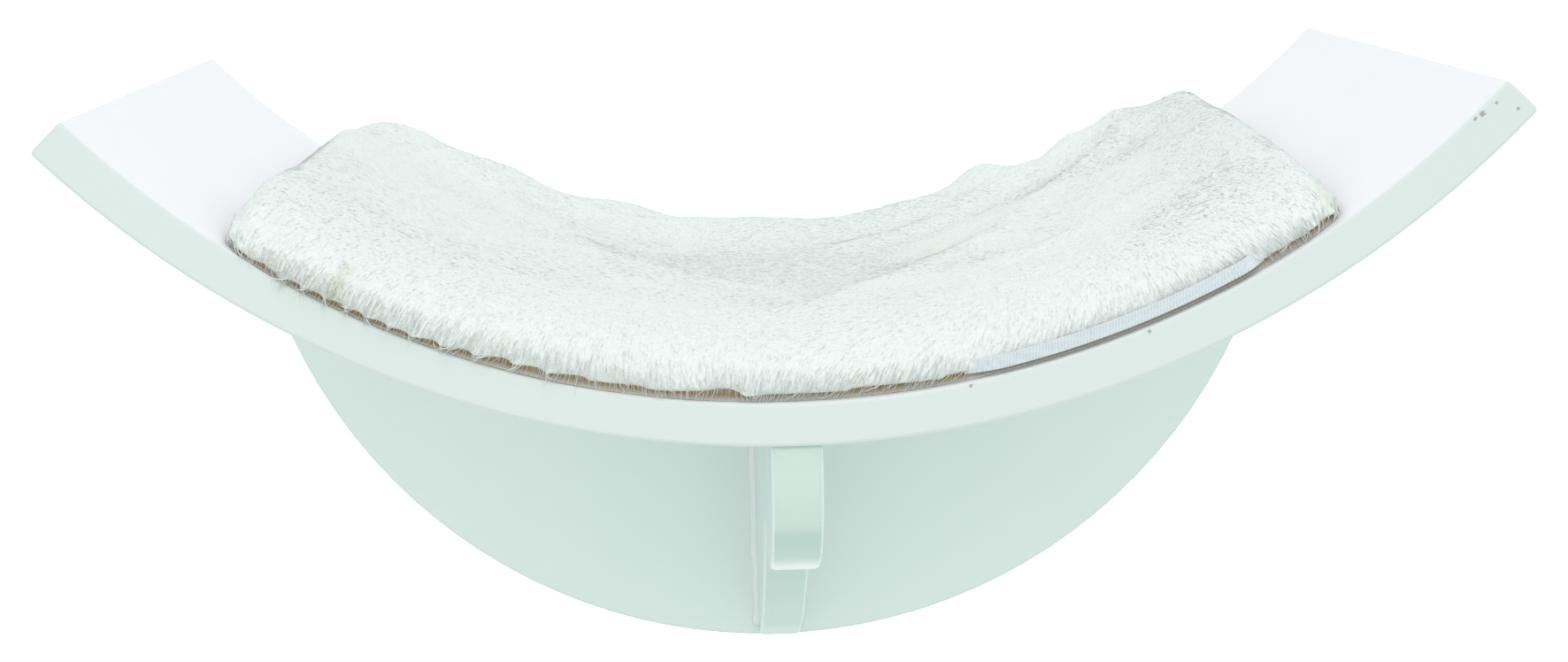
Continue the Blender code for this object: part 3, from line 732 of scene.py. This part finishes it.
def lumpy_bead(name, node, material):
    """The bead of filler in a corner, thick and thin as a finger left it."""
    low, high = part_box(node)
    side = math.copysign(1, low.x)
    corner_x = (low.x if side > 0 else high.x) - side * SEATED_GAP
    corner_y = high.y + SEATED_GAP
    corner = Vector((corner_x, corner_y, 0))
    top = Vector((corner_x, corner_y, high.z))
    reach = high.x - low.x
    bm = bmesh.new()
    outline = [bm.verts.new(top)]
    for step in range(BEAD_ARC_STEPS + 1):
        turn = step / BEAD_ARC_STEPS * math.pi / 2
        away = Vector((side * (1 - math.sin(turn)), math.cos(turn) - 1, 0)) * reach
        outline.append(bm.verts.new(top + away))
    face = bm.faces.new(outline)
    drop = Vector((0, 0, -(high.z - low.z) / BEAD_ROWS))
    for _ in range(BEAD_ROWS):
        grown = bmesh.ops.extrude_face_region(bm, geom=[face])["geom"]
        bmesh.ops.delete(bm, geom=[face], context="FACES_ONLY")
        face = next(item for item in grown if isinstance(item, bmesh.types.BMFace))
        bmesh.ops.translate(bm, vec=drop, verts=face.verts[:])
    quick_across, quick_down = BEAD_QUICK_SCALES
    for vert in bm.verts:
        away = Vector((vert.co.x, vert.co.y, 0)) - corner
        if away.length > MERGE_DISTANCE:
            slow = noise.noise(Vector((side * 3, 0, vert.co.z * BEAD_SLOW_SCALE)))
            quick = noise.noise(Vector((vert.co.x * quick_across, side, vert.co.z * quick_down)))
            vert.co += away * (BEAD_SLOW_SHARE * slow + BEAD_QUICK_SHARE * quick - BEAD_THINNING_SHARE)
    bead = made_object(name, bm, material)
    add_subdivision(bead)
    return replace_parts(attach(bead, "shelf"), node)


def dress_hard_parts():
    dressed_node("bent_board", "curved_shelf", chipped_lacquer())
    dressed_node("half_moon_plate", "wall_plate", plain_lacquer())
    dressed_node("lobed_fin", "support_fin", fin_lacquer())
    filler = painted_filler()
    lumpy_bead("filler_bead_left", "glue_bead_left", filler)
    lumpy_bead("filler_bead_right", "glue_bead_right", filler)
    finishes = {
        "beech": beech(),
        "plated_steel": zinc_plate(),
        "hook_tape": tape("woven_hook_tape", colour(0.60, 0.54, 0.40), colour(0.42, 0.36, 0.24)),
        "loop_tape": tape("woven_loop_tape", colour(0.66, 0.62, 0.50), colour(0.50, 0.45, 0.34)),
    }
    for part in frame["record"]["subparts"]:
        finish = finishes.get(part["material_slot"])
        if finish:
            slots = frame["nodes"][part["node"]].material_slots
            for slot in slots:
                slot.material = finish


# Cushion skin


def cushion_plan(across, back, inset):
    """Where a point of the unit square, -1 to 1 each way, lies on the cushion's plan: a rectangle with round
    corners, a little askew, that swells at its left end."""
    reach = max(abs(across), abs(back))
    power = FRONT_CORNER_POWER + (REAR_CORNER_POWER - FRONT_CORNER_POWER) * (1 + back) / 2
    spread = (abs(across) ** power + abs(back) ** power) ** (1 / power)
    rounding = reach / spread if spread else 1.0
    pull = CUSHION_PULL_IN * (1 - back * back) * across**3
    beside = ((1 + back) * CUSHION_DEPTH / 2 - END_SWELL_DEPTH) / END_SWELL_REACH
    pull += END_SWELL * math.exp(-beside * beside) * min(across, 0.0) ** END_SWELL_POWER
    skew = (CUSHION_SKEW * back - FRONT_RIGHT_PULL * ((1 - back) / 2) ** 2) * (1 + across) / 2
    run = CUSHION_SHIFT + across * rounding * (CUSHION_LENGTH / 2 - inset) - pull + skew
    depth = CUSHION_DEPTH / 2 + back * rounding * (CUSHION_DEPTH / 2 - inset)
    return run, depth


def distance_to_line(run, depth, line):
    """How far a place is from a line of points."""
    place = Vector((run, depth))
    nearest = math.inf
    for start, end in zip(line, line[1:]):
        start, end = Vector(start), Vector(end)
        along = end - start
        share = min(max((place - start).dot(along) / along.length_squared, 0.0), 1.0)
        nearest = min(nearest, (place - start - along * share).length)
    return nearest


def fan_share(run, depth):
    """One in the shallow fan between the two long folds, nought outside it."""
    behind = depth - FAN_APEX
    away = math.hypot(run, behind)
    bearing = math.atan2(run, behind)
    opening = smooth_step(away / FAN_RUN_IN)
    left = smooth_step((bearing - FAN_LEFT) / FAN_SOFTNESS)
    right = smooth_step((FAN_RIGHT - bearing) / FAN_SOFTNESS)
    return opening * left * right


def crown_height(run, depth):
    """The skin's height above the base cloth, away from its edges."""
    front_roll = math.exp(-((depth / FRONT_ROLL_WIDTH - 1) ** 2))
    rear_roll = math.exp(-(((CUSHION_DEPTH - depth) / REAR_ROLL_WIDTH - 1) ** 2))
    side = smooth_step(abs(run) / REAR_ROLL_SIDE_REACH)
    height = PLATEAU_HEIGHT + FRONT_ROLL_RISE * front_roll
    height += (REAR_ROLL_RISE + REAR_ROLL_SIDES * side) * rear_roll
    height -= FAN_DEPTH * fan_share(run, depth) * (1 - rear_roll)
    for line, rise, width in FOLDS:
        height += rise * math.exp(-((distance_to_line(run, depth, line) / width) ** 2))
    for (hump_run, hump_depth), rise, width in HUMPS:
        beside = math.hypot(run - hump_run, depth - hump_depth)
        height += rise * math.exp(-((beside / width) ** 2))
    return height


def cushion_point(run, depth, height):
    """A point of the cushion, whose front edge droops towards the seat and comes forward on the left."""
    first, last = DROOP_RUNS
    ends = smooth_step((first - run) / DROOP_FADE) + smooth_step((run - last) / DROOP_FADE)
    first, last = ADVANCE_RUNS
    advance = ADVANCE_LEFT * smooth_step((last - run) / (last - first))
    near = smooth_step((DROOP_DEPTH - depth) / DROOP_DEPTH)
    ahead = smooth_step((ADVANCE_DEPTH - depth) / ADVANCE_DEPTH)
    droop = min((DROOP_ALL + DROOP_ENDS * ends) * near, DROOP_LIMIT_SHARE * height)
    return seat_point(run, depth - advance * ahead, height - droop)


def crowd(share):
    """Moves a grid line of the unit square towards its edge, where the form curves most."""
    crowded = math.sin(share * math.pi / 2)
    return share + (crowded - share) * GRID_CROWDING_SHARE


def skin_form():
    """The stuffed form: a crowned top, sides that come down to a seam, and a flat underside on the seat."""
    bm = bmesh.new()
    top = bmesh.ops.create_grid(bm, x_segments=SKIN_GRID[0], y_segments=SKIN_GRID[1], size=1)["verts"]
    for vert in top:
        across = crowd(vert.co.x)
        back = crowd(vert.co.y)
        run, depth = cushion_plan(across, back, SKIN_INSET)
        side = (1 - abs(across)) * CUSHION_LENGTH / 2 / END_ROUND
        rear = (1 - back) * CUSHION_DEPTH / 2 / EDGE_ROUND
        front = (1 + back) * CUSHION_DEPTH / 2 / FRONT_ROUND
        short = 1 - min(side, rear, front, 1.0)
        rise = (crown_height(run, depth) - SEAM_HEIGHT) * math.sqrt(1 - short * short)
        vert.co = cushion_point(run, depth, CUSHION_BASE + SEAM_HEIGHT + rise)
    floor = bmesh.ops.create_grid(bm, x_segments=SKIN_GRID[0], y_segments=SKIN_GRID[1], size=1)["verts"]
    for vert in floor:
        run, depth = cushion_plan(crowd(vert.co.x), crowd(vert.co.y), SKIN_INSET + LIP_INSET)
        vert.co = cushion_point(run, depth, CUSHION_BASE)
    bmesh.ops.bridge_loops(bm, edges=[edge for edge in bm.edges if edge.is_boundary])
    return bm


def fill_with_pressure(obj):
    """Puckers the skin, which has a little slack, by pressure from inside. The underside stays on the seat,
    and no point moves further than the cushion's fit allows."""
    before = [vert.co.copy() for vert in obj.data.vertices]
    cloth = obj.modifiers.new("stuffed", "CLOTH")
    cloth.settings.use_pressure = True
    cloth.settings.uniform_pressure_force = SIM_PRESSURE
    cloth.settings.shrink_min = SIM_SLACK
    cloth.settings.effector_weights.gravity = 0
    cloth.collision_settings.use_collision = False
    cloth.point_cache.frame_start = 1
    cloth.point_cache.frame_end = SIM_FRAMES
    scene = bpy.context.scene
    for step in range(1, SIM_FRAMES + 1):
        scene.frame_set(step)
    after = [vert.co.copy() for vert in evaluated_mesh(obj).vertices]
    obj.modifiers.clear()
    scene.frame_set(1)
    for vert, start, end in zip(obj.data.vertices, before, after):
        height = seat_place(start)[2] - CUSHION_BASE
        move = (end - start) * smooth_step(height / SEAM_HEIGHT)
        if move.length > SIM_REACH:
            move *= SIM_REACH / move.length
        vert.co = start + move


def plumped(obj):
    """The form as its stuffing fills it, over an even mesh that is made finer afterwards."""
    remesh = obj.modifiers.new("even_cloth", "REMESH")
    remesh.mode = "VOXEL"
    remesh.voxel_size = SIM_VOXEL
    mesh = evaluated_mesh(obj)
    obj.modifiers.clear()
    obj.data = mesh
    fill_with_pressure(obj)
    add_subdivision(obj)
    obj.data = evaluated_mesh(obj)
    obj.modifiers.clear()
    obj.data.shade_smooth()
    return obj


# Pile


def strand(tapers):
    """One hair, a unit long: three-sided, bowed towards +x and drawn out to a point."""
    bm = bmesh.new()
    ring = bmesh.ops.create_circle(bm, cap_ends=True, segments=3, radius=0.5)["verts"]
    bmesh.ops.scale(bm, vec=(HAIR_FLATNESS, 1, 1), verts=ring)
    up = bm.verts.layers.float.new("up_share")
    edges = bm.edges[:]
    before = 0.0
    width = 1.0
    for share, taper in (*tapers, (1.0, 0.0)):
        grown = bmesh.ops.extrude_edge_only(bm, edges=edges)["geom"]
        ring = [item for item in grown if isinstance(item, bmesh.types.BMVert)]
        edges = [item for item in grown if isinstance(item, bmesh.types.BMEdge)]
        bow = HAIR_BOW * (before + share) / 2
        step = Vector((math.sin(bow), 0, math.cos(bow))) * (share - before)
        middle = sum((vert.co for vert in ring), Vector()) / len(ring)
        for vert in ring:
            vert.co = middle + step + (vert.co - middle) * (taper / width)
            vert[up] = share
        before = share
        width = taper
    bmesh.ops.remove_doubles(bm, verts=bm.verts[:], dist=MERGE_DISTANCE)
    bmesh.ops.recalc_face_normals(bm, faces=bm.faces[:])
    mesh = bpy.data.meshes.new("strand")
    bm.to_mesh(mesh)
    bm.free()
    mesh.shade_smooth()
    return mesh


def side_share(normal):
    """Nought on top of the cushion, one on its sides."""
    return smooth_step(SIDE_START - normal.z * SIDE_STEEPNESS)


def front_share(depth):
    """One at the front roll, nought towards the wall."""
    return smooth_step((FRONT_REACH - depth) / FRONT_FADE)


def ribbed_share(run, depth):
    """One along the stretch of the front where the ribbed band shows bare."""
    first, last = BARE_RUNS
    stretch = smooth_step((run - first) / BARE_FADE) * smooth_step((last - run) / BARE_FADE)
    return stretch * smooth_step((BARE_DEPTH - depth) / BARE_DEPTH_FADE)


def fringe_share(run, depth, height, normal):
    """One along the foot of the sides, where long hairs hang over the band and the felt rim."""
    foot = side_share(normal) * smooth_step((FRINGE_TOP - height) / FRINGE_FADE)
    return foot * (1 - ribbed_share(run, depth))


def combed(run, depth, normal):
    """Which way the pile leans at a place on the skin: outwards near the edges, in slow swirls on top."""
    swirl = noise.noise_vector(Vector((run, depth, 0)) * COMB_SWIRL)
    outwards = Vector((run / CUSHION_LENGTH * 2, depth / CUSHION_DEPTH * 2 - 1, 0))
    lean = Vector((swirl.x * SWIRL_LEAN, swirl.y * SWIRL_LEAN, 0))
    lean = lean + outwards * OUTWARD_LEAN + FRONT_LEAN * front_share(depth)
    lean.z = -DOWNWARD_LEAN * side_share(normal) * (1 - RIBBED_LEAN_SHARE * ribbed_share(run, depth))
    along = lean - normal * lean.dot(normal)
    return along.normalized() if along.length > MERGE_DISTANCE else Vector((1, 0, 0))


def hair_length(run, depth, height, normal):
    """The pile's length: short on top, long on the front roll, and kept short over the ribbed band."""
    length = TOP_HAIR + (ROLL_HAIR - TOP_HAIR) * front_share(depth)
    side = side_share(normal)
    length += (SIDE_HAIR - length) * side * (1 - front_share(depth))
    length += (RIBBED_HAIR - length) * ribbed_share(run, depth) * side
    return length + (FRINGE_HAIR - length) * fringe_share(run, depth, height, normal)


def hair_stand(run, depth, height, normal):
    """How steeply the pile stands on the skin."""
    stand = TOP_STAND + (ROLL_STAND - TOP_STAND) * front_share(depth)
    stand += (SIDE_STAND - stand) * side_share(normal)
    return stand + (FRINGE_STAND - stand) * fringe_share(run, depth, height, normal)


def hair_tug(depth, normal):
    """How far the clumps pull the pile about."""
    return TOP_TUG + (ROLL_TUG - TOP_TUG) * max(front_share(depth), side_share(normal))


def hair_share(run, depth, height, normal):
    """How much of the pile's full density a place has: none facing down or behind the bare band."""
    share = smooth_step(UNDERSIDE_START + normal.z * UNDERSIDE_STEEPNESS)
    return share * (1 - ribbed_share(run, depth) * smooth_step((BAND_TOP - height) / BAND_TOP_FADE))


def parting_share(run, depth):
    """How strongly a place takes the olive tint of a parting."""
    shares = [0.0]
    for line, width, strength in PARTINGS:
        shares.append(strength * math.exp(-((distance_to_line(run, depth, line) / width) ** 2)))
    return max(shares)


def pile_attributes(mesh):
    """Gives each point of the skin its hairs' length, stand, clumping and lean, its share of the hairs, and the
    shares of its tones: painted light in the fringe, painted shade in the fan, and the partings."""
    places = [(*seat_place(vert.co), vert.normal.copy()) for vert in mesh.vertices]
    float_attribute(mesh, "hair_length", [hair_length(*place) for place in places])
    float_attribute(mesh, "hair_stand", [hair_stand(*place) for place in places])
    float_attribute(mesh, "hair_tug", [hair_tug(depth, normal) for _, depth, _, normal in places])
    float_attribute(mesh, "hair_share", [hair_share(*place) for place in places])
    # The fringe's share, which also paints light on its hairs.
    float_attribute(mesh, "fringe", [fringe_share(*place) for place in places])
    # Painted shade over the fan between the folds.
    float_attribute(mesh, "fan_shade", [fan_share(run, depth) for run, depth, *_ in places])
    float_attribute(mesh, "parting", [parting_share(run, depth) for run, depth, *_ in places])
    vector_attribute(mesh, "comb", [combed(run, depth, normal) for run, depth, _, normal in places])


class PileWiring(Wiring):
    """The wiring of the pile's nodes, with the sums and draws that it needs."""

    def attribute(self, name, kind="FLOAT"):
        return self.node("GeometryNodeInputNamedAttribute", {"Name": name}, data_type=kind).outputs[0]

    def vector(self, operation, *values):
        node = self.node("ShaderNodeVectorMath", operation=operation)
        for socket, value in zip(node.inputs, values):
            self.feed(socket, value)
        return node.outputs["Vector"]

    def scaled(self, value, factor):
        node = self.node("ShaderNodeVectorMath", operation="SCALE")
        self.feed(node.inputs[0], value)
        self.feed(node.inputs["Scale"], factor)
        return node.outputs["Vector"]

    def chance(self, low, high, seed):
        """A number drawn for each hair."""
        node = self.node("FunctionNodeRandomValue", data_type="FLOAT")
        values = {socket.name: socket for socket in node.inputs if socket.enabled}
        values["Min"].default_value = low
        values["Max"].default_value = high
        values["Seed"].default_value = seed
        return next(socket for socket in node.outputs if socket.enabled)

    def stored(self, points, name, kind, value):
        """The points with one more attribute."""
        store = self.node("GeometryNodeStoreNamedAttribute", data_type=kind, domain="POINT")
        self.feed(store.inputs["Geometry"], points)
        store.inputs["Name"].default_value = name
        self.feed(next(socket for socket in store.inputs if socket.name == "Value" and socket.enabled), value)
        return store.outputs["Geometry"]


def hair_rotation(wiring, normal):
    """Each hair's turn: it stands off the skin and bows the way it is combed, tugged and leans by itself."""
    place = wiring.node("GeometryNodeInputPosition").outputs["Position"]
    clump = wiring.node("ShaderNodeTexNoise", {"Vector": place, "Scale": CLUMP_SCALE, "Detail": 1.0})
    centred = wiring.vector("SUBTRACT", clump.outputs["Color"], (0.5, 0.5, 0.5))
    tug = wiring.scaled(centred, wiring.attribute("hair_tug"))
    own = wiring.node("ShaderNodeCombineXYZ")
    for socket, seed in zip(own.inputs, LEAN_SEEDS):
        wiring.feed(socket, wiring.chance(-OWN_LEAN, OWN_LEAN, seed))
    along = wiring.scaled(wiring.attribute("comb", "FLOAT_VECTOR"), COMBED_LEAN)
    lean = wiring.vector("ADD", wiring.vector("ADD", along, tug), own.outputs["Vector"])
    off_skin = wiring.scaled(normal, wiring.attribute("hair_stand"))
    stand = wiring.vector("NORMALIZE", wiring.vector("ADD", off_skin, lean))
    upright = wiring.node("FunctionNodeAlignRotationToVector", {"Vector": stand}, axis="Z")
    bowed = wiring.vector("ADD", lean, wiring.scaled(normal, -BOW_SINK))
    facing = wiring.node(
        "FunctionNodeAlignRotationToVector",
        {"Rotation": upright.outputs["Rotation"], "Vector": bowed},
        axis="X",
        pivot_axis="Z",
    )
    return facing.outputs["Rotation"]


def hair_size(wiring):
    """Each hair's length and width. The fringe's hairs are wider."""
    usual = wiring.attribute("hair_length")
    length = wiring.math("MULTIPLY", usual, wiring.chance(*LENGTH_CHANCE_SHARES, LENGTH_SEED))
    wider = wiring.spread(usual, ROLL_HAIR, FRINGE_HAIR, 1.0, FRINGE_WIDENING)
    width = wiring.math("MULTIPLY", wiring.chance(*WIDTH_CHANCE_SHARES, WIDTH_SEED), HAIR_WIDTH)
    width = wiring.math("MULTIPLY", width, wider)
    return wiring.node("ShaderNodeCombineXYZ", {"X": length, "Y": width, "Z": length}).outputs["Vector"]


def planted_hairs(wiring, points, rotation, size, short_hair, long_hair):
    """A real hair on each point, of the simpler form where the pile is short."""
    is_long = wiring.node("FunctionNodeCompare", data_type="FLOAT", operation="GREATER_THAN")
    wiring.feed(is_long.inputs[0], wiring.attribute("hair_length"))
    is_long.inputs[1].default_value = SHORT_HAIR_LIMIT
    is_short = wiring.node("FunctionNodeBooleanMath", {0: is_long.outputs[0]}, operation="NOT")
    joined = wiring.node("GeometryNodeJoinGeometry")
    for template, chosen in ((short_hair, is_short.outputs[0]), (long_hair, is_long.outputs[0])):
        hair_shape = wiring.node("GeometryNodeObjectInfo", {"Object": template, "As Instance": True})
        planted = wiring.node(
            "GeometryNodeInstanceOnPoints",
            {
                "Points": points,
                "Selection": chosen,
                "Instance": hair_shape.outputs["Geometry"],
                "Rotation": rotation,
                "Scale": size,
            },
        )
        wiring.feed(joined.inputs["Geometry"], planted.outputs["Instances"])
    real = wiring.node("GeometryNodeRealizeInstances", {"Geometry": joined.outputs["Geometry"]})
    return real.outputs["Geometry"]


def softened(wiring, hairs):
    """The hairs with normals near those of the skin under them, so that they read as one soft surface."""
    own_normal = wiring.node("GeometryNodeInputNormal").outputs["Normal"]
    soft = wiring.scaled(wiring.attribute("skin_normal", "FLOAT_VECTOR"), SOFT_NORMAL_SHARE)
    soft = wiring.vector("ADD", soft, wiring.scaled(own_normal, 1 - SOFT_NORMAL_SHARE))
    soft = wiring.vector("NORMALIZE", soft)
    eased = wiring.node("GeometryNodeSetMeshNormal", {"Custom Normal": soft}, mode="FREE", domain="POINT")
    wiring.feed(eased.inputs["Mesh"], hairs)
    return eased.outputs["Mesh"]


def pile_tree(short_hair, long_hair):
    """Geometry nodes that plant hairs on a skin: seeded roots, each hair turned the way it is combed."""
    tree = bpy.data.node_groups.new("planted_pile", "GeometryNodeTree")
    tree.interface.new_socket("Skin", in_out="INPUT", socket_type="NodeSocketGeometry")
    tree.interface.new_socket("Seed", in_out="INPUT", socket_type="NodeSocketInt")
    tree.interface.new_socket("Pile", in_out="OUTPUT", socket_type="NodeSocketGeometry")
    wiring = PileWiring(tree)
    given = wiring.node("NodeGroupInput").outputs
    taken = wiring.node("NodeGroupOutput")
    density = wiring.math("MULTIPLY", wiring.attribute("hair_share"), HAIRS_PER_AREA)
    roots = wiring.node(
        "GeometryNodeDistributePointsOnFaces",
        {"Mesh": given["Skin"], "Density": density, "Seed": given["Seed"]},
    ).outputs
    lifted = wiring.vector("NORMALIZE", wiring.vector("ADD", roots["Normal"], (0.0, 0.0, NORMAL_LIFT)))
    points = wiring.stored(roots["Points"], "tint", "FLOAT", wiring.chance(0.0, 1.0, TINT_SEED))
    points = wiring.stored(points, "skin_normal", "FLOAT_VECTOR", lifted)
    rotation = hair_rotation(wiring, roots["Normal"])
    hairs = planted_hairs(wiring, points, rotation, hair_size(wiring), short_hair, long_hair)
    wiring.feed(taken.inputs["Pile"], softened(wiring, hairs))
    return tree


def skin_strip(mesh, first, last):
    """A copy of the part of the skin whose faces lie between two runs along the seat."""
    bm = bmesh.new()
    bm.from_mesh(mesh)
    outside = []
    for face in bm.faces:
        run = seat_place(face.calc_center_median())[0]
        if not first <= run < last:
            outside.append(face)
    bmesh.ops.delete(bm, geom=outside, context="FACES")
    strip = bpy.data.meshes.new("skin_strip")
    bm.to_mesh(strip)
    bm.free()
    return strip


def plant_pile(skin, material):
    """Hairs over the whole cushion, in strips side by side, so that each stays a piece of workable size."""
    templates = [mesh_object("strand", strand(tapers)) for tapers in (SHORT_TAPER_SHARES, LONG_TAPER_SHARES)]
    tree = pile_tree(*templates)
    seed_socket = next(item for item in tree.interface.items_tree if item.name == "Seed").identifier
    pile_attributes(skin.data)
    span = CUSHION_LENGTH + PILE_MARGIN
    for index in range(PILE_STRIPS):
        first = -span / 2 + span * index / PILE_STRIPS
        strip = mesh_object("strip", skin_strip(skin.data, first, first + span / PILE_STRIPS))
        planted = strip.modifiers.new("pile", "NODES")
        planted.node_group = tree
        planted[seed_socket] = index + 1
        mesh = evaluated_mesh(strip)
        bpy.data.objects.remove(strip)
        mesh.materials.clear()
        pile = mesh_object(f"pile_strip_{index + 1}", mesh, material)
        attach(pile, "cushion")
    for template in templates:
        bpy.data.objects.remove(template)


def make_cushion():
    skin = plumped(made_object("plush_cushion", skin_form(), skin_cloth()))
    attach(skin, "cushion")
    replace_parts(skin, "plush_cover", "wadding_pad")
    plant_pile(skin, hair())


# Base cloth


def rim_place(step, count):
    """A place on the rim of the unit square, one of a count of steps round it."""
    turn = math.tau * step / count
    across, back = math.cos(turn), math.sin(turn)
    reach = max(abs(across), abs(back))
    return across / reach, back / reach


def closed_loop(bm, verts):
    return [bm.edges.new((start, end)) for start, end in zip(verts, verts[1:] + verts[:1])]


def bridge_round(bm, loops):
    """Faces from each loop of edges to the next, and from the last to the first."""
    for lower, upper in zip(loops, loops[1:] + loops[:1]):
        bmesh.ops.bridge_loops(bm, edges=lower + upper)


def cloth_ring(bm, count, inset, height, ribbed):
    """A loop of edges round the cushion's plan at one inset and height. Where the band isn't bare it stands
    further in, behind the pile."""
    ring = []
    for step in range(count):
        place = rim_place(step, count)
        wave = RIB_DEPTH * math.sin(math.tau * step / POINTS_PER_RIB) if ribbed else 0.0
        hidden = BAND_RETREAT * (1 - ribbed_share(*cushion_plan(*place, inset + wave)))
        run, depth = cushion_plan(*place, inset + wave + hidden)
        ring.append(bm.verts.new(cushion_point(run, depth, height)))
    return closed_loop(bm, ring)


def felt_rim(bm, backing):
    """The felt underside's rim: upright, then sloping outwards under the band to the seat. Painted shade makes
    it darkest at its top under the band, fading towards its foot.
    """
    levels = (
        (FELT_INSET, CLOTH_BASE + FELT_TOP, 0.0),
        (FELT_INSET, CLOTH_BASE + BAND_FOOT, 0.0),
        (FELT_FOOT_INSET, CLOTH_BASE, 1.0),
        (FELT_FOOT_INSET + CLOTH_THICKNESS, CLOTH_BASE, 1.0),
        (FELT_INSET + CLOTH_THICKNESS, CLOTH_BASE + FELT_TOP, 0.0),
    )
    loops = []
    for inset, height, sunk in levels:
        ring = []
        for step in range(FELT_POINTS):
            run, depth = cushion_plan(*rim_place(step, FELT_POINTS), inset)
            run, depth, above = seat_place(cushion_point(run, depth, height))
            vert = bm.verts.new(seat_point(run, depth, above - (above - FELT_FOOT_HEIGHT) * sunk))
            # Painted shade: the felt is browner at its top under the band and paler at its foot.
            vert[backing] = 1.0 - FELT_SHADE_FADE * sunk
            ring.append(vert)
        loops.append(closed_loop(bm, ring))
    return loops


def make_base_cloth():
    """The knit under the cushion: a sheet on the seat, with a ribbed band standing round its rim."""
    bm = bmesh.new()
    backing = bm.verts.layers.float.new("backing")
    sheet = bmesh.ops.create_grid(bm, x_segments=CLOTH_GRID[0], y_segments=CLOTH_GRID[1], size=1)["verts"]
    for vert in sheet:
        run, depth = cushion_plan(vert.co.x, vert.co.y, CLOTH_INSET + CLOTH_THICKNESS / 2)
        vert.co = cushion_point(run, depth, CLOTH_BASE)
        vert[backing] = 1.0
    grown = bmesh.ops.extrude_face_region(bm, geom=bm.faces[:])["geom"]
    for vert in (item for item in grown if isinstance(item, bmesh.types.BMVert)):
        run, depth, height = seat_place(vert.co)
        vert.co = seat_point(run, depth, height + CLOTH_THICKNESS)
    around = 2 * (CUSHION_LENGTH + CUSHION_DEPTH)
    count = POINTS_PER_RIB * round(around / RIB_PITCH)
    inner = BAND_INSET + CLOTH_THICKNESS
    levels = (
        (BAND_INSET, CLOTH_BASE + BAND_FOOT, True),
        (BAND_INSET, CLOTH_BASE + BAND_HEIGHT, True),
        (inner, CLOTH_BASE + BAND_HEIGHT, False),
        (inner, CLOTH_BASE + BAND_FOOT, False),
    )
    bridge_round(bm, [cloth_ring(bm, count, *level) for level in levels])
    bridge_round(bm, felt_rim(bm, backing))
    return bm


def lay_base_cloth():
    cloth = made_object("ribbed_base_cloth", make_base_cloth(), ribbed_cloth())
    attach(cloth, "cushion")
    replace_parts(cloth, "base_cloth")


# Stage, light and camera


def build_stage():
    bm = bmesh.new()
    bmesh.ops.create_grid(bm, x_segments=1, y_segments=1, size=FLOOR_SIZE / 2)
    bmesh.ops.translate(bm, vec=(0, 0, FLOOR_HEIGHT), verts=bm.verts[:])
    mesh = bpy.data.meshes.new("floor")
    bm.to_mesh(mesh)
    bm.free()
    floor = mesh_object("floor", mesh, floor_finish())


def floor_finish():
    """Pale floor that renders white to the camera where no shadow falls."""
    finish = Finish("pale_floor", Roughness=0.9)
    tint, shade = colour(0.77, 0.81, 0.79), colour(0.75, 0.79, 0.77)
    finish.paint(finish.group("mottle", Colour=tint, Shade=shade, Scale=2.0, Amount=0.5)["Colour"])
    path = finish.node("ShaderNodeLightPath").outputs
    finish.shader.inputs["Emission Color"].default_value = colour(1, 1, 1)
    mirrored = finish.math("MULTIPLY", path["Is Glossy Ray"], 0.3)
    seen = finish.math("MAXIMUM", finish.math("MULTIPLY", path["Is Camera Ray"], 0.9), mirrored)
    finish.feed(finish.shader.inputs["Emission Strength"], seen)
    return finish.material


def light_world():
    world = bpy.data.worlds.new("studio")
    bpy.context.scene.world = world
    world.use_nodes = True
    wiring = Wiring(world.node_tree)
    shader = world.node_tree.nodes["Background"]
    path = wiring.node("ShaderNodeLightPath").outputs
    seen = wiring.math("MAXIMUM", path["Is Camera Ray"], path["Is Glossy Ray"])
    seen = wiring.math("MAXIMUM", seen, path["Is Transmission Ray"])
    wiring.feed(shader.inputs["Color"], wiring.mixed(seen, colour(0.97, 0.99, 1.0), colour(1, 1, 1)))
    wiring.feed(shader.inputs["Strength"], wiring.spread(seen, 0.0, 1.0, LIGHT_LEVEL, 1.0))


def area_lamp(name, place, target, size, power, tint):
    lamp = bpy.data.lights.new(name, "AREA")
    lamp.shape = "SQUARE"
    lamp.size = size
    lamp.energy = power
    lamp.color = tint
    obj = bpy.data.objects.new(name, lamp)
    bpy.context.scene.collection.objects.link(obj)
    obj.location = place
    obj.rotation_euler = (Vector(target) - Vector(place)).to_track_quat("-Z", "Y").to_euler()


def light_stage():
    light_world()
    area_lamp("soft_top", (0.25, -0.5, 1.5), (0, -0.14, 0.05), 1.2, 3.0, (1.0, 0.99, 0.99))
    area_lamp("soft_front", (-0.10, -1.7, 0.22), (0, -0.14, 0.02), 1.2, 3.6, (1.0, 0.99, 0.98))


def place_camera():
    """The photograph's camera. Its turns are about z, then the level, then its own line of sight."""
    data = bpy.data.cameras.new("photo_camera")
    data.sensor_fit = "HORIZONTAL"
    data.sensor_width = SENSOR_WIDTH
    data.lens = FOCAL_PIXELS * SENSOR_WIDTH / PHOTO_WIDTH
    data.clip_start = 0.01
    camera = bpy.data.objects.new("photo_camera", data)
    bpy.context.scene.collection.objects.link(camera)
    turn = Matrix.Rotation(CAMERA_YAW, 4, "Z")
    tilt = Matrix.Rotation(math.pi / 2 - CAMERA_PITCH, 4, "X")
    lean = Matrix.Rotation(CAMERA_ROLL, 4, "Z")
    camera.matrix_world = Matrix.Translation(CAMERA_PLACE) @ turn @ tilt @ lean
    bpy.context.scene.camera = camera


place_camera()
build_stage()
light_stage()
dress_hard_parts()
make_cushion()
lay_base_cloth()
bpy.context.scene.view_settings.view_transform = "Standard"
